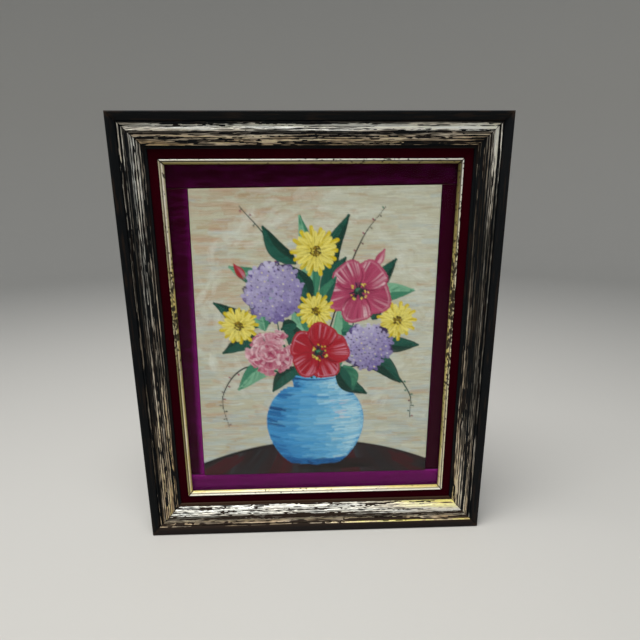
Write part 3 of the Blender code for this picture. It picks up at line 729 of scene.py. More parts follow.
def slip_material(look):
    """Gilt on gesso over wood, burnished and flaking.

    The eye gets a pale ridge and a warmer bead, soft dents, and pits and cracks where the dark bole shows.
    The ridge's near-white is partly a painted highlight, the tones of ridge and bead partly painted light
    and shade, and the quirk between them is darkened as painted shade.
    """
    material, tree = new_material("gilt gesso, burnished and flaking")
    marks = {}
    for name in ("grain", "golden", "bright", "pits_and_shade"):
        marks[name] = add_node(tree, "ShaderNodeAttribute", attribute_name=name)
    # dents and smears 0.8 mm across and 2.4 mm along the slip
    drawn = add_node(tree, "ShaderNodeVectorMath", {
        0: marks["grain"].outputs["Vector"], 1: (420, 1300, 1)}, operation="MULTIPLY")
    smears = add_node(tree, "ShaderNodeTexNoise", {
        "Vector": drawn, "Scale": 1.0, "Detail": 4.0, "Roughness": 0.6})
    tone = add_node(tree, "ShaderNodeMapRange", {
        "Value": smears.outputs["Fac"], "From Min": 0.3, "From Max": 0.65, "To Min": 0.8,
        "To Max": 1.1})
    lit = add_node(tree, "ShaderNodeMath", {
        0: marks["bright"].outputs["Fac"], 1: tone}, operation="MULTIPLY")
    warm = add_node(tree, "ShaderNodeMix", {
        "Factor": marks["golden"].outputs["Fac"], 6: rgba(look.ridge),
        7: rgba(look.gilt)}, data_type="RGBA")
    shaded = add_node(tree, "ShaderNodeVectorMath", {0: warm.outputs[2], 1: lit}, operation="MULTIPLY")
    gilt = add_node(tree, "ShaderNodeVectorMath", {
        0: shaded, 1: (0.96, 0.96, 0.96)}, operation="MINIMUM")
    colour = add_node(tree, "ShaderNodeMix", {
        "Factor": marks["pits_and_shade"].outputs["Fac"], 6: gilt, 7: rgba(look.bole)}, data_type="RGBA")
    metal = add_node(tree, "ShaderNodeMapRange", {
        "Value": marks["pits_and_shade"].outputs["Fac"], "To Min": 0.2, "To Max": 0.0})
    rough = add_node(tree, "ShaderNodeMapRange", {
        "Value": marks["pits_and_shade"].outputs["Fac"], "To Min": 0.30, "To Max": 0.7})
    bump = add_node(tree, "ShaderNodeBump", {
        "Height": smears.outputs["Fac"], "Strength": 0.6, "Distance": 0.0002})
    shader = add_node(tree, "ShaderNodeBsdfPrincipled", {
        "Base Color": colour.outputs[2], "Metallic": metal, "Roughness": rough, "Normal": bump})
    add_node(tree, "ShaderNodeOutputMaterial", {"Surface": shader})
    return material


def slip_finish(along, inset, face, side, seed):
    """Per point: the gilding's gold and brightness (partly painted light), and its darkening by pits,
    cracks and painted shade.
    """
    furthest = np.abs(along).max(axis=1, keepdims=True)
    places, *columns = zip(*GILDING_BY_RAIL[side])
    ridge_gold, ridge_tone_and_light, bead_gold, bead_tone_and_light, worn = (
        np.interp(along / furthest, places, column) for column in columns)
    on_bead = smooth(SLIP_RIDGE_END - 0.1 * MM, SLIP_BEAD + 0.3 * MM, inset)
    clean = lattice(along / (12 * MM), inset / (3 * MM), seed + 2)
    blotch = lattice(along / (1.8 * MM), inset / (1.0 * MM), seed)
    spots = 0.65 * blotch + 0.35 * lattice(along / (0.9 * MM), inset / (0.6 * MM), seed + 1)
    level = 0.84 - 0.40 * worn
    pits_and_shade = smooth(level - 0.05, level + 0.05, spots)
    # painted shade in the quirk between the ridge and the bead
    groove_shade = 1 - smooth(0.18 * MM, 0.42 * MM, np.abs(inset - SLIP_RIDGE_END - 0.12 * MM))
    mitre = 1 - smooth(0.30 * MM, 0.75 * MM, furthest - np.abs(along))
    pits_and_shade = np.maximum(pits_and_shade, np.maximum(groove_shade * GROOVE_SHADE_BY_RAIL[side], mitre))
    warm_edge = 0.4 * smooth(SLIP_SIGHT - 0.9 * MM, SLIP_SIGHT - 0.3 * MM, inset)
    golden = ridge_gold + (bead_gold - ridge_gold) * on_bead + warm_edge + 0.4 * (clean - 0.5)
    # partly painted light: the bead dark on the top rail and bright on the bottom
    bright = ridge_tone_and_light + (bead_tone_and_light - ridge_tone_and_light) * on_bead
    return np.clip(golden, 0, 1), bright * (0.9 + 0.2 * clean), pits_and_shade * (face == PIECE_FACE)


def slip_relief(side, seed):
    """Soft dents in the slip, and pits where the gilding has flaked off."""
    def relief(along, inset, face):
        pits_and_shade = slip_finish(along, inset, face, side, seed)[2]
        height = lattice(along / (5 * MM), inset / (1.2 * MM), 41) - 0.5
        return (0.06 * height - 0.10 * pits_and_shade) * MM * (face == PIECE_FACE)
    return relief


class PICTURE_OT_slip(bpy.types.Operator):
    """Build the narrow gilt slip that edges the glass"""
    bl_idname = "picture.slip"
    bl_label = "Gilt slip"

    def execute(self, context):
        gilt = slip_material(context.scene.slip_look)
        for number, side in enumerate(SIDES):
            seed = 50 + 5 * number
            piece, along, inset, face = sweep(f"slip_{side}", side, slip_section(), SLIP_COLUMNS,
                                              slip_relief(side, seed))
            for name, values in zip(("golden", "bright", "pits_and_shade"),
                                    slip_finish(along, inset, face, side, seed)):
                store(piece.data, name, values)
            piece.data.materials.append(gilt)
            settle(piece, "gilt_wood", f"gilt_slip_{side}")
        return {"FINISHED"}


# ---------------------------------------------------------------- velvet round the panel

def board_corners(node):
    """A four-cornered board's corners (X, Z), clockwise from the top left, and its front and back Y."""
    low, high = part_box(node)
    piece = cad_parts[node]
    points = [piece.matrix_world @ vertex.co for vertex in piece.data.vertices]
    corners = []
    for x, z in ((-1, 1), (1, 1), (1, -1), (-1, -1)):
        furthest = max(points, key=lambda point: x * point.x + z * point.z)
        corners.append((furthest.x, furthest.z))
    return np.array(corners), low.y, high.y


def spread(corners, u, v):
    """X and Z at shares across and down a four-cornered board."""
    top_left, top_right, bottom_right, bottom_left = corners
    u, v = u[..., None], v[..., None]
    place = (top_left * (1 - u) + top_right * u) * (1 - v) + (bottom_left * (1 - u) + bottom_right * u) * v
    return place[..., 0], place[..., 1]


def board_size(corners):
    """Mean width and height of a four-cornered board."""
    top, right, foot, left = (np.hypot(*(end - start)) for start, end in
                              zip(corners, np.roll(corners, -1, 0)))
    return (top + foot) / 2, (left + right) / 2


def crowded(count):
    """Shares from 0 to 1 that lie a little closer together near both ends."""
    return np.linspace(0, 1, count) * 0.88 + 0.06 * (1 - np.cos(np.linspace(0, math.pi, count)))


def closed_board(name, front, back_y):
    """A board from its front grid of points, closed by a wall and a flat back.

    Returns the piece, its points, and how many of them lie round the back.
    """
    rows, columns = front.shape[:2]
    points = front.reshape(-1, 3)
    faces, loop = board_faces(rows, columns)
    rear = points[loop].copy()
    rear[:, 1] = back_y
    points = np.concatenate([points, rear])
    return mesh_piece(name, points, faces), points, len(rear)


def soft_slab(name, node, spacing, edge, waviness, seed):
    """A closed board with a soft, slightly wavy front and rolled edges.

    Returns the piece, and the X and the Z of its points.
    """
    corners, front_y, back_y = board_corners(node)
    width, height = board_size(corners)
    columns, rows = max(8, round(width / spacing)), max(8, round(height / spacing))
    u, v = np.meshgrid(crowded(columns), crowded(rows))
    x, z = spread(corners, u, v)
    rim = np.minimum(np.minimum(u, 1 - u) * width, np.minimum(v, 1 - v) * height)
    roll = edge * (1 - np.sqrt(1 - (1 - np.clip(rim / edge, 0, 1)) ** 2))
    wave = waviness * (lattice(x / (9 * MM), z / (9 * MM), seed) +
                       0.4 * lattice(x / (1.5 * MM), z / (1.5 * MM), seed + 1))
    piece, points, _ = closed_board(name, np.stack([x, front_y + roll + wave, z], 2), back_y)
    grain = points[:, [0, 2, 1]]
    store(piece.data, "grain", grain, "FLOAT_VECTOR")
    return piece, grain[:, 0], grain[:, 1]


def board_faces(rows, columns):
    """The faces of a grid from the top left, closed by a wall and a back, and the grid's outline."""
    index = np.arange(rows * columns).reshape(rows, columns)
    quads = np.stack([index[:-1, :-1], index[1:, :-1], index[1:, 1:], index[:-1, 1:]], 2)
    loop = np.concatenate([index[0, :-1], index[:-1, -1], index[-1, :0:-1], index[:0:-1, 0]])
    back = np.arange(len(loop)) + rows * columns
    wall = np.stack([loop, np.roll(loop, -1), np.roll(back, -1), back], 1)
    return quads.reshape(-1, 4).tolist() + wall.tolist() + [back.tolist()], loop


def from_line(start, end, x, z):
    """Distance of each point from the line through two corners."""
    along = (end - start) / np.hypot(*(end - start))
    return np.abs((x - start[0]) * along[1] - (z - start[1]) * along[0])


# By side: how much painted light the pile gets beside the slip, and beside the panel; the low values are
# painted shade, deepest at the top and on the right, the high ones painted light along the bottom.
LIGHT_BY_SIDE = {"top": (0.03, 0.12), "left": (0.02, 0.95), "right": (-0.30, 0.05),
                "bottom": (0.55, 1.00)}


class PICTURE_OT_surround(bpy.types.Operator):
    """Build the four strips of purple velvet round the painted panel"""
    bl_idname = "picture.surround"
    bl_label = "Velvet surround"

    def execute(self, context):
        look = context.scene.velvet_look
        velvet = velvet_material("purple velvet, cut pile", look.shaded_purple, look.purple,
                                 linear("#a02a98"))
        corners = board_corners("painted_panel")[0]
        edges = {"top": corners[[0, 1]], "right": corners[[1, 2]], "bottom": corners[[2, 3]],
                 "left": corners[[3, 0]]}
        for number, side in enumerate(SIDES):
            piece, x, z = soft_slab(f"surround_{side}", f"velvet_strip_{side}", spacing=0.9 * MM,
                                    edge=0.35 * MM, waviness=0.12 * MM, seed=70 + number)
            # painted light that grows towards the panel's edge, painted shade towards the slip
            beside = 1 - smooth(0, 7 * MM, from_line(*edges[side], x, z))
            low, high = LIGHT_BY_SIDE[side]
            painted_light = low + (high - low) * beside
            if side in ("left", "right"):
                # painted shade over the upper half
                painted_light = painted_light * (1 - 0.7 * smooth(-0.10, 0.10, z - FRAME_CENTRE_Z))
            store(piece.data, "painted_light", painted_light)
            piece.data.materials.append(velvet)
            settle(piece, "purple_velvet", f"velvet_strip_{side}")
        return {"FINISHED"}


# ---------------------------------------------------------------- the painter

PAINT_STEP = 0.4
BRISTLES, BRISTLE_WIDTH = 4096, 0.45
# Points along a stroke's path lie so far apart.
PATH_STEP = 0.5


class Panel:
    """Wet paint on a panel: linear colour and paint height in millimetres on a fine grid."""

    def __init__(self, width, height, seed):
        self.width, self.height = width, height
        self.x = np.arange(0, width + PAINT_STEP, PAINT_STEP)
        self.y = np.arange(0, height + PAINT_STEP, PAINT_STEP)
        self.colour = np.ones((len(self.y), len(self.x), 3))
        self.paint = np.zeros((len(self.y), len(self.x)))
        self.random = np.random.default_rng(seed)
        self.bristles = self.random.random(BRISTLES)

    def bristle(self, lane):
        """How much paint the bristles hold across the brush, smoothed between neighbours."""
        whole = np.floor(lane).astype(int)
        part = eased(lane - whole)
        first, second = self.bristles[whole % BRISTLES], self.bristles[(whole + 1) % BRISTLES]
        return first * (1 - part) + second * part

    def stroke(self, points, width, start, end=None, body=0.10, opacity=0.94, dry=0.4, point=0.0):
        """Drags a loaded brush through some points, from one colour to another.

        body is the paint's thickness, dry how far it runs out at the end, point how far it narrows there.
        """
        end = start if end is None else end
        path = curve(points)
        ahead = np.gradient(path, axis=0)
        ahead /= np.maximum(np.linalg.norm(ahead, axis=1, keepdims=True), 1e-6)
        low, high = path.min(0) - width / 2 - 0.6, path.max(0) + width / 2 + 0.6
        c0, c1 = np.searchsorted(self.x, (low[0], high[0]))
        r0, r1 = np.searchsorted(self.y, (low[1], high[1]))
        if c1 <= c0 or r1 <= r0:
            return
        gap_x = self.x[None, c0:c1, None] - path[:, 0]
        gap_y = self.y[r0:r1, None, None] - path[:, 1]
        squared = gap_x**2 + gap_y**2
        near = squared.argmin(2)
        far = np.sqrt(np.take_along_axis(squared, near[..., None], 2)[..., 0])
        side_x = np.take_along_axis(np.broadcast_to(gap_x, squared.shape), near[..., None], 2)[..., 0]
        side_y = np.take_along_axis(np.broadcast_to(gap_y, squared.shape), near[..., None], 2)[..., 0]
        side = np.sign(side_x * ahead[near, 1] - side_y * ahead[near, 0])
        share = near / max(len(path) - 1, 1)
        half = width / 2 * (1 - point * smooth(0.35, 1.0, share))
        lane = side * far / np.maximum(half, 0.15)
        # each stroke takes its bristles from another part of the brush
        hair = self.bristle(lane * width / (2 * BRISTLE_WIDTH) + self.random.uniform(0, 4000))
        cover = 1 - smooth(half - 0.25, half + 0.25, far + 0.35 * (hair - 0.5))
        run_out = smooth(0.5, 1.0, share) * dry
        cover = cover * opacity * smooth(run_out - 0.25, run_out + 0.05, hair)
        shade = self.random.uniform(0.94, 1.06) * (0.88 + 0.24 * hair)
        mix = share[..., None]
        tint = (np.array(start) * (1 - mix) + np.array(end) * mix) * shade[..., None]
        area = (slice(r0, r1), slice(c0, c1))
        cover3 = cover[..., None]
        self.colour[area] = self.colour[area] * (1 - cover3) + tint * cover3
        laid = body * (0.45 + 0.6 * hair + 0.35 * np.clip(np.abs(lane), 0, 1) ** 4)
        self.paint[area] = self.paint[area] * (1 - 0.75 * cover) + (laid + 0.25 * self.paint[area]) * cover

    def pick(self, *colours):
        """A random mixture of some colours."""
        share = self.random.dirichlet(np.full(len(colours), 0.7))
        return sum(s * np.array(c) for s, c in zip(share, colours))


def curve(points):
    """A smooth path through some points, sampled about every PATH_STEP."""
    points = np.asarray(points, float)
    if len(points) == 2:
        points = np.array([points[0], points.mean(0), points[1]])
    ends = np.concatenate([2 * points[:1] - points[1:2], points, 2 * points[-1:] - points[-2:-1]])
    length = np.linalg.norm(np.diff(points, axis=0), axis=1).sum()
    count = max(3, int(length / PATH_STEP / (len(points) - 1)) + 1)
    t = np.linspace(0, 1, count)[:, None]
    pieces = []
    for a, b, c, d in zip(ends, ends[1:], ends[2:], ends[3:]):
        pieces.append(0.5 * (2 * b + (c - a) * t + (2 * a - 5 * b + 4 * c - d) * t**2
                             + (3 * b - a - 3 * c + d) * t**3)[:-1])
    return np.concatenate(pieces + [points[-1:]])


def turned(centre, angle, distance):
    """The point at some distance and angle from a centre."""
    return np.array([centre[0] + distance * math.cos(angle), centre[1] + distance * math.sin(angle)])


# The palette.
CREAM, PALE, PEACH = linear("#c4c2aa"), linear("#d2d7ca"), linear("#c09f84")
SAGE, OCHRE, MILK, MIST_GREY = linear("#adb8a9"), linear("#b0976e"), linear("#e0e4dc"), linear("#b6c4c8")
TEAL, DEEP_TEAL, GREEN, MINT = linear("#1f5a4c"), linear("#14392f"), linear("#3f8466"), linear("#7fb796")
CRIMSON, RED, ROSE, BLUSH = linear("#7d0f1e"), linear("#b01e2e"), linear("#b64a6c"), linear("#d897ac")
LILAC, VIOLET, PLUM, MIST = linear("#9a8fc4"), linear("#6c5c9c"), linear("#35244a"), linear("#c9c4e0")
YELLOW, LEMON, AMBER, OLIVE = linear("#d8bf14"), linear("#ece077"), linear("#a8860f"), linear("#5b5414")
BLUE, SKY, AZURE, NAVY = linear("#2374b8"), linear("#7cc0e2"), linear("#489bd2"), linear("#123f74")
ICE = linear("#b4dcec")
MAROON, UMBER, SLATE, INK = linear("#4a1a20"), linear("#2c1c1c"), linear("#34353b"), linear("#101715")


GROUND_STROKES = 1500


def paint_ground(panel):
    """Cream scumbled across in dry strokes: peach at the upper left, cooler to the right and the foot."""
    random = panel.random
    panel.colour[:] = CREAM
    for _ in range(GROUND_STROKES):
        x, y = random.uniform(-8, panel.width), random.uniform(-2, panel.height)
        length = random.uniform(10, 30)
        low, right = y / panel.height, x / panel.width
        drift = float(lattice(np.array(x / 60), np.array(y / 45), 90)) - 0.5
        warm = (1 - 1.6 * right) * (1 - 1.5 * low) + 0.4 * drift
        cool = random.random() < 0.25 + 0.75 * right
        base = panel.pick(CREAM, PALE) if cool else panel.pick(CREAM, PEACH)
        if warm > 0.35 and random.random() < 0.85:
            base = panel.pick(PEACH, PEACH, CREAM)
        if random.random() < low * 0.75:
            base = panel.pick(SAGE, MIST_GREY, MIST_GREY, PALE)
        if random.random() < 0.05:
            base = panel.pick(PEACH, OCHRE)
        rise = random.uniform(-1.2, 1.2)
        panel.stroke([(x, y), (x + length / 2, y + rise), (x + length, y + random.uniform(-1, 1))],
                     random.uniform(2.0, 4.6), base, body=0.035, opacity=0.5, dry=0.9)
    for _ in range(GROUND_STROKES):
        x, y = random.uniform(-8, panel.width), random.uniform(0, panel.height)
        length = random.uniform(6, 22)
        low, right = y / panel.height, x / panel.width
        tone = panel.pick(OCHRE, SAGE, PEACH) if random.random() < 0.5 else panel.pick(MILK, PALE, CREAM)
        if random.random() < (1 - 1.6 * right) * (1 - 1.5 * low):
            tone = panel.pick(PEACH, OCHRE)
        if random.random() < 0.5 * low:
            tone = MIST_GREY
        panel.stroke([(x, y), (x + length, y + random.uniform(-0.8, 0.8))], random.uniform(0.7, 1.3), tone,
                     body=0.05, opacity=0.34, dry=0.9)


def paint_halo(panel, centre, radii, count):
    """Paler strokes brushed loosely round the bouquet's outline."""
    random = panel.random
    for _ in range(count):
        angle = random.uniform(0, 2 * math.pi)
        reach = random.uniform(0.92, 1.22)
        x = centre[0] + radii[0] * reach * math.cos(angle)
        y = centre[1] + radii[1] * reach * math.sin(angle)
        lean = angle + math.pi / 2 + random.uniform(-0.7, 0.7)
        run = turned((x, y), lean, random.uniform(5, 12))
        panel.stroke([(x, y), run], random.uniform(3.4, 6.4), panel.pick(PALE, MILK, CREAM), body=0.05,
                     opacity=0.26, dry=0.6)


# How far down the table's edge lies behind the vase, how far it falls to the sides, and its boards.
TABLE_TOP, TABLE_FALL, TABLE_BOARDS = 222, 21, 9


def table_edge(x, width):
    """The round table's far edge, highest behind the vase."""
    return TABLE_TOP + TABLE_FALL * ((x - width / 2) / (width / 2)) ** 2


def paint_table(panel):
    """A round table in dark stained boards, with red streaks that fan out towards the front."""
    random = panel.random
    width, foot = panel.width, panel.height
    for _ in range(2):
        for x in np.arange(-6, width + 6, 3.2):
            top = table_edge(x, width) + 1.5
            panel.stroke([(x, top), (x + 0.2 * (x - width / 2), foot + 4)], 5.5,
                         panel.pick(UMBER, SLATE, UMBER), body=0.05, opacity=0.97, dry=0.0)
    for board in range(TABLE_BOARDS):
        low = (board + 0.5) / TABLE_BOARDS
        for _ in range(26):
            share = low + random.uniform(-0.032, 0.032)
            x = width * (share * 1.5 - 0.25)
            start = width / 2 + (x - width / 2) * 0.72
            top = table_edge(start, width) + random.uniform(1.5, 9)
            tone = panel.pick(MAROON, MAROON, UMBER) if board % 2 else panel.pick(SLATE, UMBER, INK)
            panel.stroke([(start + random.uniform(-1, 1), top), (x, foot + 3)], random.uniform(1.6, 3.4),
                         tone, body=0.06, opacity=0.8, dry=0.5)
    edge = [(x, table_edge(x, width)) for x in np.linspace(-4, width + 4, 12)]
    panel.stroke(edge, 2.2, INK, UMBER, body=0.06, dry=0.1)
    panel.stroke([(x, y - 1.3) for x, y in edge], 0.9, panel.pick(SLATE, UMBER), body=0.05,
                 opacity=0.7, dry=0.5)


# The vase's middle, and how far down its mouth, its shoulder and its foot lie; its half widths.
VASE_X, VASE_MOUTH, VASE_SHOULDER, VASE_FOOT = 101.0, 157.0, 168.0, 243.0
VASE_HALF, VASE_NECK_HALF, VASE_FOOT_HALF = 43.0, 19.0, 19.0


def vase_half_width(y):
    """Half the vase's width at a height: a short neck over a full egg-shaped body."""
    if y < VASE_SHOULDER:
        share = (y - VASE_MOUTH) / (VASE_SHOULDER - VASE_MOUTH)
        return VASE_NECK_HALF + 3.0 * (1 - share) ** 2
    share = (y - VASE_SHOULDER) / (VASE_FOOT - VASE_SHOULDER)
    swell = math.sin(math.pi * share**0.86) ** 0.62
    rest = VASE_NECK_HALF + (VASE_FOOT_HALF - VASE_NECK_HALF) * share
    return rest + (VASE_HALF - rest) * swell


def paint_vase(panel):
    """A blue glazed vase, dark on its left and paler to the right, in strokes that follow its belly."""
    random = panel.random
    for _ in range(60):
        x = VASE_X + random.uniform(-12, 46)
        y = VASE_FOOT + random.uniform(-3, 6)
        panel.stroke([(x - 8, y), (x + 10, y + random.uniform(-0.8, 0.8))], random.uniform(2, 3.6),
                     panel.pick(INK, UMBER), body=0.04, opacity=0.6)
    for layer, body in ((0, 0.06), (1, 0.10), (2, 0.12)):
        for y in np.arange(VASE_MOUTH + 1, VASE_FOOT, 1.9 if layer == 0 else 1.7):
            half = vase_half_width(y) - 1.0
            sag = 0.10 * half
            bulge = 1 if y > 175 else 0.5
            pieces = 1 if layer == 0 else 6
            for piece in range(pieces):
                a = -1 + 2 * piece / pieces + (random.uniform(-0.12, 0.12) if layer else 0)
                b = a + 2 / pieces + (random.uniform(0.0, 0.16) if layer else 0)
                a, b = max(a, -1), min(b, 1)
                spots = [(VASE_X + half * s, y + sag * math.sqrt(max(0, 1 - s * s)) * bulge
                          + random.uniform(-0.5, 0.5) * layer) for s in (a, (a + b) / 2, b)]
                middle = (a + b) / 2 + random.uniform(-0.12, 0.12)
                depth = (y - VASE_SHOULDER) / (VASE_FOOT - VASE_SHOULDER)
                light = 0.52 + 0.42 * middle - 0.30 * max(0, depth - 0.45) + 0.10 * (layer - 1)
                light = min(max(light + random.uniform(-0.16, 0.16), 0), 1)
                tone = np.interp(light, (0, 0.4, 0.8, 1), range(4))
                stops = (BLUE, AZURE, SKY, ICE)
                low = int(min(tone, 2))
                colour = np.array(stops[low]) * (1 - tone + low) + np.array(stops[low + 1]) * (tone - low)
                if middle < -0.8 or depth > 0.93:
                    colour = panel.pick(NAVY, BLUE)
                panel.stroke(spots, 2.8 if layer == 0 else random.uniform(1.7, 2.8), colour, body=body,
                             opacity=1.0 if layer == 0 else 0.72, dry=0.1 if layer == 0 else 0.6)
    for _ in range(14):
        y = random.uniform(182, 206)
        x = VASE_X + random.uniform(12, 24)
        panel.stroke([(x, y), (x + random.uniform(3, 8), y - 0.6)], random.uniform(1.0, 1.8),
                     panel.pick(MILK, MIST, SKY), body=0.16, opacity=0.6, dry=0.6)
    mouth = [(VASE_X - 17, VASE_MOUTH + 0.4), (VASE_X, VASE_MOUTH + 1.2),
             (VASE_X + 17, VASE_MOUTH + 0.4)]
    panel.stroke(mouth, 3.6, NAVY, INK, body=0.03, dry=0.0)
    lip = [(VASE_X - 21, VASE_MOUTH), (VASE_X - 10, VASE_MOUTH + 2.4), (VASE_X, VASE_MOUTH + 3.0),
           (VASE_X + 10, VASE_MOUTH + 2.4), (VASE_X + 21, VASE_MOUTH)]
    panel.stroke(lip, 2.6, AZURE, SKY, body=0.16, dry=0.1)
    panel.stroke([(x, y + 2.4) for x, y in lip], 1.2, NAVY, BLUE, body=0.05, dry=0.3)


def leaf_half(share, width):
    """Half a leaf's width at a share of its length."""
    return width / 2 * math.sin(math.pi * min(share, 0.99) ** 0.8) ** 0.8


def paint_leaf(panel, base, tip, width, bend, dark, light):
    """A leaf in two halves, brushed from its midrib towards the tip."""
    base, tip = np.array(base, float), np.array(tip, float)
    run = tip - base
    length = np.linalg.norm(run)
    normal = np.array([-run[1], run[0]]) / length
    rib = curve([base, (base + tip) / 2 + normal * bend, tip])
    count = len(rib)
    for side, colour in ((1, dark), (-1, light)):
        for share in np.arange(0.0, 0.95, 1.5 / length):
            at = rib[int(share * (count - 1))]
            further = min(share + 0.26, 1.0)
            half = leaf_half(further, width)
            out = rib[int(further * (count - 1))] + side * normal * half
            middle = (at + out) / 2 + side * normal * half * 0.16
            panel.stroke([at, middle, out], 2.2, panel.pick(colour, colour, dark), colour, body=0.08,
                         opacity=0.95, dry=0.15, point=0.45)
        outline = []
        for share in np.linspace(0.12, 0.98, 7):
            half = leaf_half(share, width)
            outline.append(rib[int(share * (count - 1))] + side * normal * half * 0.93)
        panel.stroke(outline, 1.5, colour, panel.pick(colour, dark), body=0.08, dry=0.1, point=0.4)
    panel.stroke(rib[:: max(1, count // 5)], 0.7, np.array(light) * 1.25, light, body=0.1, opacity=0.75)
    panel.stroke([tip - run * 0.08, tip], 1.0, dark, body=0.06, point=0.7)


def paint_petal(panel, centre, radius, axis, colours):
    """A poppy's broad crumpled petal, with pale streaks in from its rim and a dark fold at each side."""
    deep, mid, pale = colours
    random = panel.random
    size = radius * random.uniform(0.9, 1.04)
    ruffle = random.uniform(0, 6)

    def rim(lane):
        """The petal's edge, from one side (-1) to the other (1)."""
        wavy = 1 - 0.24 * lane * lane + 0.045 * math.sin(5 * lane + ruffle)
        return turned(centre, axis + 0.66 * lane, size * wavy)

    for lane in np.linspace(-1, 1, 15):
        bow = turned(centre, axis + 0.80 * lane, size * 0.5)
        panel.stroke([centre, bow, rim(lane)], radius * 0.17, panel.pick(deep, mid), mid, body=0.10,
                     dry=0.05)
    for _ in range(16):
        lane = random.uniform(-0.95, 0.95)
        bow = turned(centre, axis + 0.78 * lane, size * 0.62)
        inner = turned(centre, axis + 0.7 * lane, size * random.uniform(0.30, 0.5))
        tone = panel.pick(pale, mid, pale) if random.random() < 0.6 else panel.pick(deep, mid)
        panel.stroke([rim(lane), bow, inner], radius * random.uniform(0.035, 0.075), tone, mid, body=0.14,
                     opacity=0.85, dry=0.8, point=0.6)
    edge = [rim(lane) for lane in np.linspace(-0.95, 0.95, 6)]
    panel.stroke(edge, radius * 0.055, panel.pick(pale, mid, mid), panel.pick(pale, mid), body=0.18,
                 opacity=0.7, dry=0.9)
    for lane in (-1.0, 1.0):
        fold = [turned(centre, axis + 0.74 * lane, size * 0.25),
                turned(centre, axis + 0.8 * lane, size * 0.5), rim(lane)]
        panel.stroke(fold, radius * 0.045, np.array(deep) * 0.55, deep, body=0.04, opacity=0.7)


def paint_poppy(panel, centre, radius, first_angle, colours):
    """Five petals that overlap, round a dark seed head ringed with stamens."""
    random = panel.random
    for petal in (0, 2, 4, 1, 3):
        paint_petal(panel, centre, radius, first_angle + petal * 2 * math.pi / 5, colours)
    for _ in range(26):
        angle = random.uniform(0, 2 * math.pi)
        panel.stroke([turned(centre, angle, radius * 0.08), turned(centre, angle, radius * 0.27)],
                     radius * 0.04, INK, PLUM, body=0.08, opacity=0.9)
    for _ in range(20):
        spot = turned(centre, random.uniform(0, 2 * math.pi), radius * random.uniform(0.2, 0.31))
        panel.stroke([spot, spot + 0.6], 1.1, panel.pick(YELLOW, LEMON), body=0.2)
    panel.stroke([(centre[0] - 1, centre[1]), (centre[0] + 1, centre[1])], radius * 0.22, DEEP_TEAL,
                 body=0.2)
    panel.stroke([(centre[0] - 1.2, centre[1] - 1), (centre[0] + 0.6, centre[1] - 1.4)], radius * 0.09,
                 GREEN, body=0.2)


# Florets that follow each other by this angle fill a round head evenly.
GOLDEN_ANGLE = 2.39996


def paint_hydrangea(panel, centre, radius, count):
    """A round head of four-petalled florets, pale where lit at the upper left and plum in its shade."""
    random = panel.random
    for _ in range(70):
        angle, far = random.uniform(0, 2 * math.pi), radius * math.sqrt(random.random()) * 0.93
        spot = turned(centre, angle, far)
        panel.stroke([spot, turned(spot, angle + 1.2, 5)], 4.4, panel.pick(VIOLET, PLUM), body=0.05)
    for floret in reversed(range(count)):
        far = radius * math.sqrt((floret + 0.5) / count) * 0.93
        spot = turned(centre, floret * GOLDEN_ANGLE + 0.4, far)
        lit = 0.5 - 0.5 * ((spot[0] - centre[0]) * 0.55 + (spot[1] - centre[1]) * 0.8) / radius
        lit = min(max(lit + random.uniform(-0.16, 0.16), 0), 1)
        size = radius * 0.155 * random.uniform(0.85, 1.1)
        turn = random.uniform(0, 1.5)
        for petal in range(4):
            axis = turn + petal * math.pi / 2
            colour = np.array(VIOLET) * (1 - lit) + np.array(MIST) * lit
            if random.random() < 0.25:
                colour = panel.pick(LILAC, colour)
            panel.stroke([turned(spot, axis, size * 0.15), turned(spot, axis, size)], size * 0.95,
                         panel.pick(LILAC, colour), colour, body=0.15, opacity=0.93, dry=0.2)
        dot = PLUM if random.random() < 0.55 else panel.pick(LEMON, MILK)
        panel.stroke([spot, spot + 0.3], 1.1, dot, body=0.16)


def paint_daisy(panel, centre, radius, petals):
    """Two rounds of narrow yellow petals about an olive-brown disc."""
    random = panel.random
    for reach, shift, tone in ((1.0, 0.0, (AMBER, YELLOW)), (0.82, 0.5, (YELLOW, LEMON))):
        for petal in range(petals):
            axis = (petal + shift) * 2 * math.pi / petals + random.uniform(-0.06, 0.06)
            far = radius * reach * random.uniform(0.9, 1.05)
            bow = turned(centre, axis + random.uniform(-0.1, 0.1), far * 0.6)
            tip = turned(centre, axis, far)
            wide = 2 * math.pi * radius / petals * 0.62
            panel.stroke([turned(centre, axis, radius * 0.12), bow, tip], wide, panel.pick(*tone), tone[1],
                         body=0.15, dry=0.1, point=0.35)
            panel.stroke([turned(centre, axis, radius * 0.3), tip], wide * 0.25, panel.pick(AMBER, OLIVE),
                         YELLOW, body=0.06, opacity=0.5, dry=0.7)
            panel.stroke([turned(centre, axis + 0.07, far * 0.55), turned(centre, axis + 0.05, far * 0.95)],
                         wide * 0.3, LEMON, body=0.2, opacity=0.75, dry=0.6)
    for _ in range(40):
        spot = turned(centre, random.uniform(0, 2 * math.pi), radius * 0.24 * math.sqrt(random.random()))
        panel.stroke([spot, spot + 0.5], 1.4, panel.pick(OLIVE, UMBER, AMBER), body=0.2)


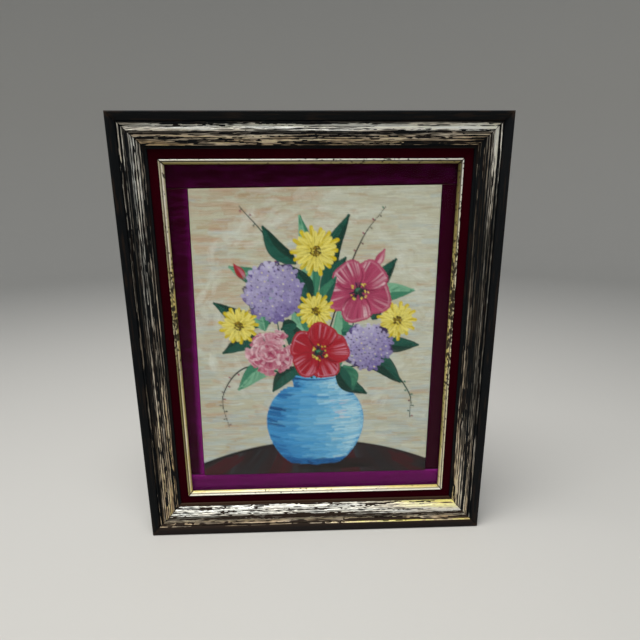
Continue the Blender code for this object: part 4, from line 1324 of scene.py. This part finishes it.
def paint_carnation(panel, centre, radius, colours):
    """Rings of short frilled petals, each edged pale."""
    deep, mid, pale = colours
    random = panel.random
    for ring, count in ((0.98, 17), (0.8, 15), (0.6, 12), (0.4, 9), (0.2, 5)):
        size = max(ring, 0.3)
        for petal in range(count):
            axis = petal * 2 * math.pi / count + ring * 9 + random.uniform(-0.22, 0.22)
            far = radius * ring * random.uniform(0.84, 1.08)
            near = max(far - radius * 0.42, 0)
            for lane in (-1, 0, 1):
                panel.stroke([turned(centre, axis, near), turned(centre, axis + lane * 0.16 / size, far)],
                             radius * 0.13, panel.pick(deep, mid), panel.pick(mid, mid, pale), body=0.12,
                             dry=0.15)
            frill = [turned(centre, axis + lean / size, far * reach)
                     for lean, reach in ((-0.24, 0.97), (0, 1.03), (0.24, 0.97))]
            panel.stroke(frill, radius * random.uniform(0.04, 0.075), panel.pick(pale, mid),
                         panel.pick(pale, mid), body=0.2, opacity=0.8, dry=0.7)
            if random.random() < 0.4:
                panel.stroke([turned(centre, axis, near), turned(centre, axis + 0.1, far * 0.9)],
                             radius * 0.06, np.array(deep) * 0.6, deep, body=0.05, opacity=0.7, dry=0.5)


def paint_stem(panel, points, width, colour, beads=0):
    """A thin stem in one pull of the brush, with small beads of paint along its far half."""
    panel.stroke(points, width, colour, body=0.14, opacity=1.0, dry=0.15, point=0.6)
    path = curve(points)
    for bead in range(beads):
        at = int(len(path) * (0.42 + 0.56 * bead / max(beads - 1, 1))) - 1
        side = 1 if bead % 2 else -1
        ahead = path[at] - path[max(at - 3, 0)]
        out = path[at] + side * 1.9 * np.array([-ahead[1], ahead[0]]) / max(np.linalg.norm(ahead), 1e-6)
        panel.stroke([path[at], out], 0.6, colour, body=0.1)
        panel.stroke([out, out + 0.4], 1.5, panel.pick(colour, ROSE, GREEN), body=0.22)


def paint_bud(panel, base, tip, colours):
    """A closed bud on a green calyx."""
    deep, mid, pale = colours
    base, tip = np.array(base, float), np.array(tip, float)
    run = tip - base
    normal = np.array([-run[1], run[0]]) / np.linalg.norm(run)
    for lane, colour in ((-1, deep), (1, mid), (-0.4, mid), (0.5, pale)):
        panel.stroke([base, base + run * 0.55 + normal * lane * 2.4, tip], 2.6, colour, mid, body=0.14,
                     dry=0.1, point=0.5)
    for lane in (-1, 0, 1):
        panel.stroke([base - run * 0.1, base + run * 0.32 + normal * lane * 2.6], 1.8, TEAL, GREEN,
                     body=0.12, point=0.6)


# Leaves by where they start and end on the panel, their width and how far they bend.
BACK_LEAVES = (
    ((96, 100), (88, 22), 15, 5), ((112, 80), (128, 22), 14, -6), ((130, 90), (168, 58), 16, 5),
    ((146, 96), (184, 84), 15, -5), ((150, 120), (190, 132), 15, 5), ((140, 140), (176, 166), 16, -4),
    ((66, 90), (30, 62), 15, 5), ((62, 110), (16, 92), 14, -5), ((60, 126), (22, 136), 15, 5),
    ((70, 146), (34, 170), 16, 5), ((84, 60), (58, 30), 13, -4), ((120, 150), (146, 176), 14, 5),
    ((100, 130), (84, 92), 15, -4), ((100, 132), (126, 112), 15, 4), ((88, 140), (74, 108), 15, 3),
    ((118, 138), (122, 96), 14, 3), ((96, 92), (80, 62), 14, 3), ((108, 90), (126, 56), 14, -3),
    ((58, 116), (46, 92), 12, 3), ((150, 108), (160, 92), 12, -3), ((90, 158), (82, 134), 14, 3),
    ((114, 158), (128, 130), 14, -3),
)
FRONT_LEAVES = (
    ((92, 104), (92, 78), 12, 3), ((104, 106), (118, 72), 12, -3), ((84, 152), (64, 172), 13, 3),
    ((126, 150), (134, 172), 12, -3), ((84, 112), (72, 116), 9, 2), ((124, 118), (136, 122), 9, -2),
)


def paint_bouquet(panel):
    """Poppies, hydrangeas, daisies and a carnation, with leaves behind and between them."""
    red, pink = (CRIMSON, RED, BLUSH), (linear("#8f2449"), ROSE, linear("#ecd0d6"))
    for k, points in enumerate((((100, 150), (80, 90), (64, 44), (40, 14)),
                                ((104, 150), (124, 80), (140, 40), (158, 16)),
                                ((120, 152), (160, 150), (184, 176), (186, 200)),
                                ((84, 150), (40, 150), (20, 176), (24, 206)))):
        paint_stem(panel, points, 1.5, INK if k % 2 else DEEP_TEAL, beads=9)
    for k, (base, tip, width, bend) in enumerate(BACK_LEAVES):
        tones = (DEEP_TEAL, TEAL) if k % 3 else (GREEN, MINT)
        paint_leaf(panel, base, tip, width, bend, *tones)
    for points in (((102, 160), (100, 120), (100, 56)), ((98, 160), (74, 130), (66, 92)),
                   ((106, 160), (128, 130), (136, 98)), ((95, 159), (60, 150), (40, 118))):
        paint_stem(panel, points, 1.8, TEAL)
    paint_daisy(panel, (101, 50), 19, 14)
    paint_bud(panel, (150, 66), (158, 50), pink)
    paint_bud(panel, (44, 74), (34, 60), red)
    paint_daisy(panel, (36, 112), 16, 13)
    paint_daisy(panel, (171, 110), 16, 13)
    paint_hydrangea(panel, (66, 84), 25, 48)
    paint_poppy(panel, (137, 84), 27, 0.4, pink)
    for k, (base, tip, width, bend) in enumerate(FRONT_LEAVES):
        tones = (TEAL, GREEN) if k % 2 else (DEEP_TEAL, TEAL)
        paint_leaf(panel, base, tip, width, bend, *tones)
    paint_hydrangea(panel, (146, 133), 21, 40)
    paint_carnation(panel, (62, 137), 21, pink)
    paint_daisy(panel, (101, 100), 15, 13)
    paint_poppy(panel, (104, 137), 24, 1.1, red)


def paint_still_life(width, height, seed):
    """The whole picture, painted from the ground forward."""
    panel = Panel(width, height, seed)
    paint_ground(panel)
    paint_halo(panel, (102, 104), (88, 82), 300)
    paint_table(panel)
    paint_vase(panel)
    paint_bouquet(panel)
    panel.colour = np.clip(panel.colour, 0, 1)
    return panel


# ---------------------------------------------------------------- the painted panel

def gathered(count, ease):
    """Shares from 0 to 1 that lie closer together near the middle."""
    t = np.linspace(0, 1, count)
    return t + ease * np.sin(2 * math.pi * t) / (2 * math.pi)


def sample(grid, x, y):
    """Values of one of the painter's grids between its points."""
    column = np.clip(x / PAINT_STEP, 0, grid.shape[1] - 1.001)
    row = np.clip(y / PAINT_STEP, 0, grid.shape[0] - 1.001)
    c, r = column.astype(int), row.astype(int)
    fc, fr = column - c, row - r
    if grid.ndim == 3:
        fc, fr = fc[..., None], fr[..., None]
    top = grid[r, c] * (1 - fc) + grid[r, c + 1] * fc
    low = grid[r + 1, c] * (1 - fc) + grid[r + 1, c + 1] * fc
    return top * (1 - fr) + low * fr


def painting_material(look):
    """Oil paint on canvas board, varnished thinly.

    The eye gets flat rich colour with a soft sheen, ribs where the ground was scrubbed across, and ridges
    where a loaded brush was dragged.
    """
    material, tree = new_material("oil paint on canvas board")
    paint = add_node(tree, "ShaderNodeAttribute", attribute_name="paint")
    thick = add_node(tree, "ShaderNodeAttribute", attribute_name="thick")
    place = add_node(tree, "ShaderNodeTexCoord")
    # ribs across the panel one thread pitch apart, each some 12 mm long
    rib = 1 / look.thread_pitch
    drawn = add_node(tree, "ShaderNodeVectorMath", {
        0: place.outputs["Object"], 1: (85, 1, rib)}, operation="MULTIPLY")
    ribs = add_node(tree, "ShaderNodeTexNoise", {
        "Vector": drawn, "Scale": 1.0, "Detail": 2.0, "Roughness": 0.5})
    # canvas threads 0.7 mm apart
    weave = add_node(tree, "ShaderNodeTexNoise", {
        "Vector": place.outputs["Object"], "Scale": 1400.0, "Detail": 3.0})
    shade = add_node(tree, "ShaderNodeMath", {
        0: ribs.outputs["Fac"], 1: weave.outputs["Fac"]}, operation="ADD")
    tone = add_node(tree, "ShaderNodeMapRange", {
        "Value": shade, "From Min": 0.7, "From Max": 1.3, "To Min": 0.90, "To Max": 1.08})
    colour = add_node(tree, "ShaderNodeVectorMath", {
        0: paint.outputs["Color"], 1: tone}, operation="MULTIPLY")
    thin = add_node(tree, "ShaderNodeMath", {0: 1.0, 1: thick.outputs["Fac"]}, operation="SUBTRACT")
    shown = add_node(tree, "ShaderNodeMath", {0: shade, 1: thin}, operation="MULTIPLY")
    bump = add_node(tree, "ShaderNodeBump", {"Height": shown, "Strength": 0.35, "Distance": 0.0002})
    rough = add_node(tree, "ShaderNodeMapRange", {
        "Value": thick.outputs["Fac"], "To Min": 0.6, "To Max": 0.42})
    shader = add_node(tree, "ShaderNodeBsdfPrincipled", {
        "Base Color": colour, "Roughness": rough, "Specular IOR Level": 0.2, "Normal": bump})
    add_node(tree, "ShaderNodeOutputMaterial", {"Surface": shader})
    return material


BARE_BOARD = linear("#d8d0bd")
PANEL_COLUMNS, PANEL_ROWS = 276, 340
# How far the mesh's columns and its rows are drawn together over the flowers.
PANEL_EASE = (0.28, 0.22)
# In millimetres: the paint that counts as thickest, and the round of the board's front edge.
THICKEST_PAINT, BOARD_EDGE, BOARD_EDGE_DROP = 0.3, 1.0, 0.4


class PICTURE_OT_painting(bpy.types.Operator):
    """Paint the still life on its panel"""
    bl_idname = "picture.painting"
    bl_label = "Painted panel"

    def execute(self, context):
        look = context.scene.painting_look
        corners, front_y, back_y = board_corners("painted_panel")
        width, height = (size / MM for size in board_size(corners))
        panel = paint_still_life(width, height, look.seed)
        u, v = np.meshgrid(gathered(PANEL_COLUMNS, PANEL_EASE[0]), gathered(PANEL_ROWS, PANEL_EASE[1]))
        x, y = width * u, height * v
        colour = sample(panel.colour, x, y)
        thick = np.clip(sample(panel.paint, x, y) / THICKEST_PAINT, 0, 1)
        rim = np.minimum(np.minimum(x, width - x), np.minimum(y, height - y))
        drop = MM * BOARD_EDGE_DROP * (1 - smooth(0, BOARD_EDGE, rim))
        across, up = spread(corners, u, v)
        front = np.stack([across, front_y + drop - look.relief * thick, up], 2)
        piece, _, behind = closed_board("painted_panel_relief", front, back_y)
        # the back of the board is bare and has no paint on it
        tint = np.concatenate([colour.reshape(-1, 3), np.broadcast_to(BARE_BOARD, (behind, 3))])
        store(piece.data, "paint", np.concatenate([tint, np.ones((len(tint), 1))], 1), "FLOAT_COLOR")
        store(piece.data, "thick", np.concatenate([thick.ravel(), np.zeros(behind)]))
        piece.data.set_sharp_from_angle(angle=math.radians(60))
        piece.data.materials.append(painting_material(look))
        settle(piece, "oil_on_canvas_board", "painted_panel")
        return {"FINISHED"}


# ---------------------------------------------------------------- glass and back

def glass_material():
    """Picture glass, 1.6 mm, coated against glare: the eye gets a clear pane that hardly mirrors the room.

    The low index stands for the coating.
    """
    material, tree = new_material("picture glass, clear, low glare")
    shader = add_node(tree, "ShaderNodeBsdfPrincipled", {
        "Base Color": rgba(linear("#fdfefd")), "Roughness": 0.0, "IOR": 1.13,
        "Transmission Weight": 1.0})
    add_node(tree, "ShaderNodeOutputMaterial", {"Surface": shader})
    return material


def hardboard_material():
    """Hardboard, pressed on a wire screen: the eye gets dull brown fibre with a fine woven imprint."""
    material, tree = new_material("hardboard, screen-pressed")
    place = add_node(tree, "ShaderNodeTexCoord")
    # screen wires 1.6 mm apart
    wires = []
    for direction in ("X", "Z"):
        wires.append(add_node(tree, "ShaderNodeTexWave", {
            "Vector": place.outputs["Object"], "Scale": 2 * math.pi / (20 * 1.6 * MM),
            "Distortion": 0.6, "Detail": 1.0}, bands_direction=direction))
    screen = add_node(tree, "ShaderNodeMath", {
        0: wires[0].outputs["Fac"], 1: wires[1].outputs["Fac"]}, operation="MULTIPLY")
    # fibres of 1.4 mm, and damp stains of 45 mm
    fibre = add_node(tree, "ShaderNodeTexNoise", {
        "Vector": place.outputs["Object"], "Scale": 700.0, "Detail": 5.0, "Roughness": 0.7})
    stains = add_node(tree, "ShaderNodeTexNoise", {
        "Vector": place.outputs["Object"], "Scale": 22.0, "Detail": 3.0})
    mottle = add_node(tree, "ShaderNodeMath", {
        0: fibre.outputs["Fac"], 1: stains.outputs["Fac"]}, operation="ADD")
    ramp = add_node(tree, "ShaderNodeMapRange", {"Value": mottle, "From Min": 0.75, "From Max": 1.25})
    colour = add_node(tree, "ShaderNodeMix", {
        "Factor": ramp, 6: rgba(linear("#4d3524")), 7: rgba(linear("#7d5b3e"))}, data_type="RGBA")
    height = add_node(tree, "ShaderNodeMath", {0: screen, 1: fibre.outputs["Fac"]}, operation="ADD")
    bump = add_node(tree, "ShaderNodeBump", {"Height": height, "Strength": 0.6, "Distance": 0.0003})
    shader = add_node(tree, "ShaderNodeBsdfPrincipled", {
        "Base Color": colour.outputs[2], "Roughness": 0.82, "Normal": bump})
    add_node(tree, "ShaderNodeOutputMaterial", {"Surface": shader})
    return material


def zinc_material():
    """Zinc-plated steel, stamped: the eye gets dull blue-grey metal with faint spangle and smears."""
    material, tree = new_material("zinc-plated steel, stamped")
    place = add_node(tree, "ShaderNodeTexCoord")
    # spangle of 2 mm, and smears of 5 to 6 mm
    spangle = add_node(tree, "ShaderNodeTexVoronoi", {"Vector": place.outputs["Object"], "Scale": 500.0})
    smear = add_node(tree, "ShaderNodeTexNoise", {
        "Vector": place.outputs["Object"], "Scale": 180.0, "Detail": 4.0})
    both = add_node(tree, "ShaderNodeMix", {
        "Factor": 0.5, 2: spangle.outputs["Distance"], 3: smear.outputs["Fac"]})
    colour = add_node(tree, "ShaderNodeMix", {
        "Factor": both, 6: rgba(linear("#8f9396")), 7: rgba(linear("#c9cccd"))}, data_type="RGBA")
    rough = add_node(tree, "ShaderNodeMapRange", {
        "Value": smear.outputs["Fac"], "From Min": 0.3, "From Max": 0.7, "To Min": 0.28,
        "To Max": 0.48})
    shader = add_node(tree, "ShaderNodeBsdfPrincipled", {
        "Base Color": colour.outputs[2], "Metallic": 1.0, "Roughness": rough})
    add_node(tree, "ShaderNodeOutputMaterial", {"Surface": shader})
    return material


def refinish(node, material):
    """Gives a packed node its finished material."""
    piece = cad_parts[node]
    for slot in piece.material_slots:
        slot.material = material
    return piece


class PICTURE_OT_glass(bpy.types.Operator):
    """Give the pane its clear glass"""
    bl_idname = "picture.glass"
    bl_label = "Glass"

    def execute(self, context):
        pane = refinish("glass_pane", glass_material())
        pane.visible_shadow = False
        pane.visible_diffuse = False
        return {"FINISHED"}


class PICTURE_OT_back(bpy.types.Operator):
    """Finish the backing board, framing points, hanger and nails"""
    bl_idname = "picture.back"
    bl_label = "Back and hanger"

    def execute(self, context):
        refinish("backing_board", hardboard_material())
        zinc = zinc_material()
        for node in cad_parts:
            if node.startswith(("framing_point", "sawtooth_hanger", "hanger_nail")):
                refinish(node, zinc)
        return {"FINISHED"}


# ---------------------------------------------------------------- stage

CAMERA_PLACE = (-0.0058, -0.3630, -0.0637)
CAMERA_TURN = (math.radians(76.27), math.radians(0.416), math.radians(-1.849))
CAMERA_LENS_MM = 23.94
OVERHEAD_PLACE, OVERHEAD_SIZE, OVERHEAD_COLOUR = (-0.20, -0.38, 1.05), (0.9, 0.6), (1.0, 0.99, 0.97)
FILL_PLACE, FILL_SIZE, FILL_COLOUR = (0.5, -1.2, -0.1), (0.9, 0.5), (1.0, 0.97, 0.93)
SKY_COLOUR, SKY_STRENGTH = linear("#e6ecf2"), 0.33
# The floor is flat to this radius and then curves up to a wall.
FLAT_RADIUS, RIM_RADIUS, FLOOR_GAP, FLOOR_TURNS = 1.9, 0.9, 0.2 * MM, 96


def add_bowl(colour):
    """A pale floor whose rim curves up into a low wall all round."""
    profile = [(radius, 0.0) for radius in (0.6, 1.2, FLAT_RADIUS)]
    profile += [(FLAT_RADIUS + RIM_RADIUS * math.sin(a), RIM_RADIUS * (1 - math.cos(a)))
                for a in np.linspace(0.15, math.pi / 2, 12)]
    profile += [(FLAT_RADIUS + RIM_RADIUS, height) for height in (1.3, 1.8)]
    level = FLOOR_Z - FLOOR_GAP
    angle = np.linspace(0, 2 * math.pi, FLOOR_TURNS, endpoint=False)
    points = [(r * math.cos(a), r * math.sin(a), level + z) for r, z in profile for a in angle]
    points.append((0.0, 0.0, level))
    faces = [(len(points) - 1, i, (i + 1) % FLOOR_TURNS) for i in range(FLOOR_TURNS)]
    for ring in range(len(profile) - 1):
        for i in range(FLOOR_TURNS):
            a, b = ring * FLOOR_TURNS + i, ring * FLOOR_TURNS + (i + 1) % FLOOR_TURNS
            faces.append((a, a + FLOOR_TURNS, b + FLOOR_TURNS, b))
    floor = mesh_piece("floor", points, faces)
    # the eye gets an even pale ground with no gloss
    material, tree = new_material("matt painted floor")
    shader = add_node(tree, "ShaderNodeBsdfPrincipled", {"Base Color": rgba(colour), "Roughness": 0.9})
    add_node(tree, "ShaderNodeOutputMaterial", {"Surface": shader})
    floor.data.materials.append(material)


def add_lamp(name, place, size, power, colour):
    """A rectangular lamp turned towards the picture's middle."""
    lamp = bpy.data.lights.new(name, "AREA")
    lamp.shape = "RECTANGLE"
    lamp.size, lamp.size_y = size
    lamp.energy = power
    lamp.color = colour
    holder = bpy.data.objects.new(name, lamp)
    holder.location = place
    towards = Vector((0.0, 0.0, FRAME_CENTRE_Z)) - Vector(place)
    holder.rotation_euler = towards.to_track_quat("-Z", "Y").to_euler()
    bpy.context.scene.collection.objects.link(holder)
    return holder


class PICTURE_OT_stage(bpy.types.Operator):
    """Set up the floor, the lamps and the camera"""
    bl_idname = "picture.stage"
    bl_label = "Stage"

    def execute(self, context):
        look = context.scene.stage_look
        add_bowl(look.floor)
        add_lamp("overhead", OVERHEAD_PLACE, OVERHEAD_SIZE, look.overhead, OVERHEAD_COLOUR)
        fill = add_lamp("low_fill", FILL_PLACE, FILL_SIZE, look.fill, FILL_COLOUR)
        # it lights the shaded side, and neither the glass nor the leaf shows it
        fill.visible_glossy = False
        fill.visible_transmission = False
        world = bpy.data.worlds.new("sky")
        context.scene.world = world
        world.use_nodes = True
        sky = world.node_tree.nodes["Background"].inputs
        sky["Color"].default_value = rgba(SKY_COLOUR)
        sky["Strength"].default_value = SKY_STRENGTH
        context.scene.view_settings.view_transform = "Standard"
        lens = bpy.data.cameras.new("camera")
        lens.lens = CAMERA_LENS_MM
        lens.clip_start = 0.01
        camera = bpy.data.objects.new("camera", lens)
        camera.location = CAMERA_PLACE
        camera.rotation_euler = CAMERA_TURN
        context.scene.collection.objects.link(camera)
        context.scene.camera = camera
        return {"FINISHED"}


# ---------------------------------------------------------------- panel and main

OPERATORS = (PICTURE_OT_moulding, PICTURE_OT_liner, PICTURE_OT_slip, PICTURE_OT_surround,
             PICTURE_OT_painting, PICTURE_OT_glass, PICTURE_OT_back, PICTURE_OT_stage)
LOOKS = {"moulding_look": MouldingLook, "velvet_look": VelvetLook, "slip_look": SlipLook,
         "painting_look": PaintingLook, "stage_look": StageLook}


class PICTURE_PT_build(bpy.types.Panel):
    """Lists the picture's pieces and their settings"""
    bl_label = "Framed oil painting"
    bl_idname = "PICTURE_PT_build"
    bl_space_type = "VIEW_3D"
    bl_region_type = "UI"
    bl_category = "Picture"

    def draw(self, context):
        for operator in OPERATORS:
            self.layout.operator(operator.bl_idname)
        for name, look in LOOKS.items():
            box = self.layout.box()
            box.label(text=look.__doc__)
            for setting in look.__annotations__:
                box.prop(getattr(context.scene, name), setting)


def register():
    for look in LOOKS.values():
        bpy.utils.register_class(look)
    for name, look in LOOKS.items():
        setattr(bpy.types.Scene, name, bpy.props.PointerProperty(type=look))
    for operator in OPERATORS:
        bpy.utils.register_class(operator)
    bpy.utils.register_class(PICTURE_PT_build)


def unregister():
    bpy.utils.unregister_class(PICTURE_PT_build)
    for operator in reversed(OPERATORS):
        bpy.utils.unregister_class(operator)
    for name in LOOKS:
        delattr(bpy.types.Scene, name)
    for look in reversed(LOOKS.values()):
        bpy.utils.unregister_class(look)


def main():
    register()
    for operator in OPERATORS:
        group, name = operator.bl_idname.split(".")
        getattr(getattr(bpy.ops, group), name)()


if __name__ == "__main__":
    main()
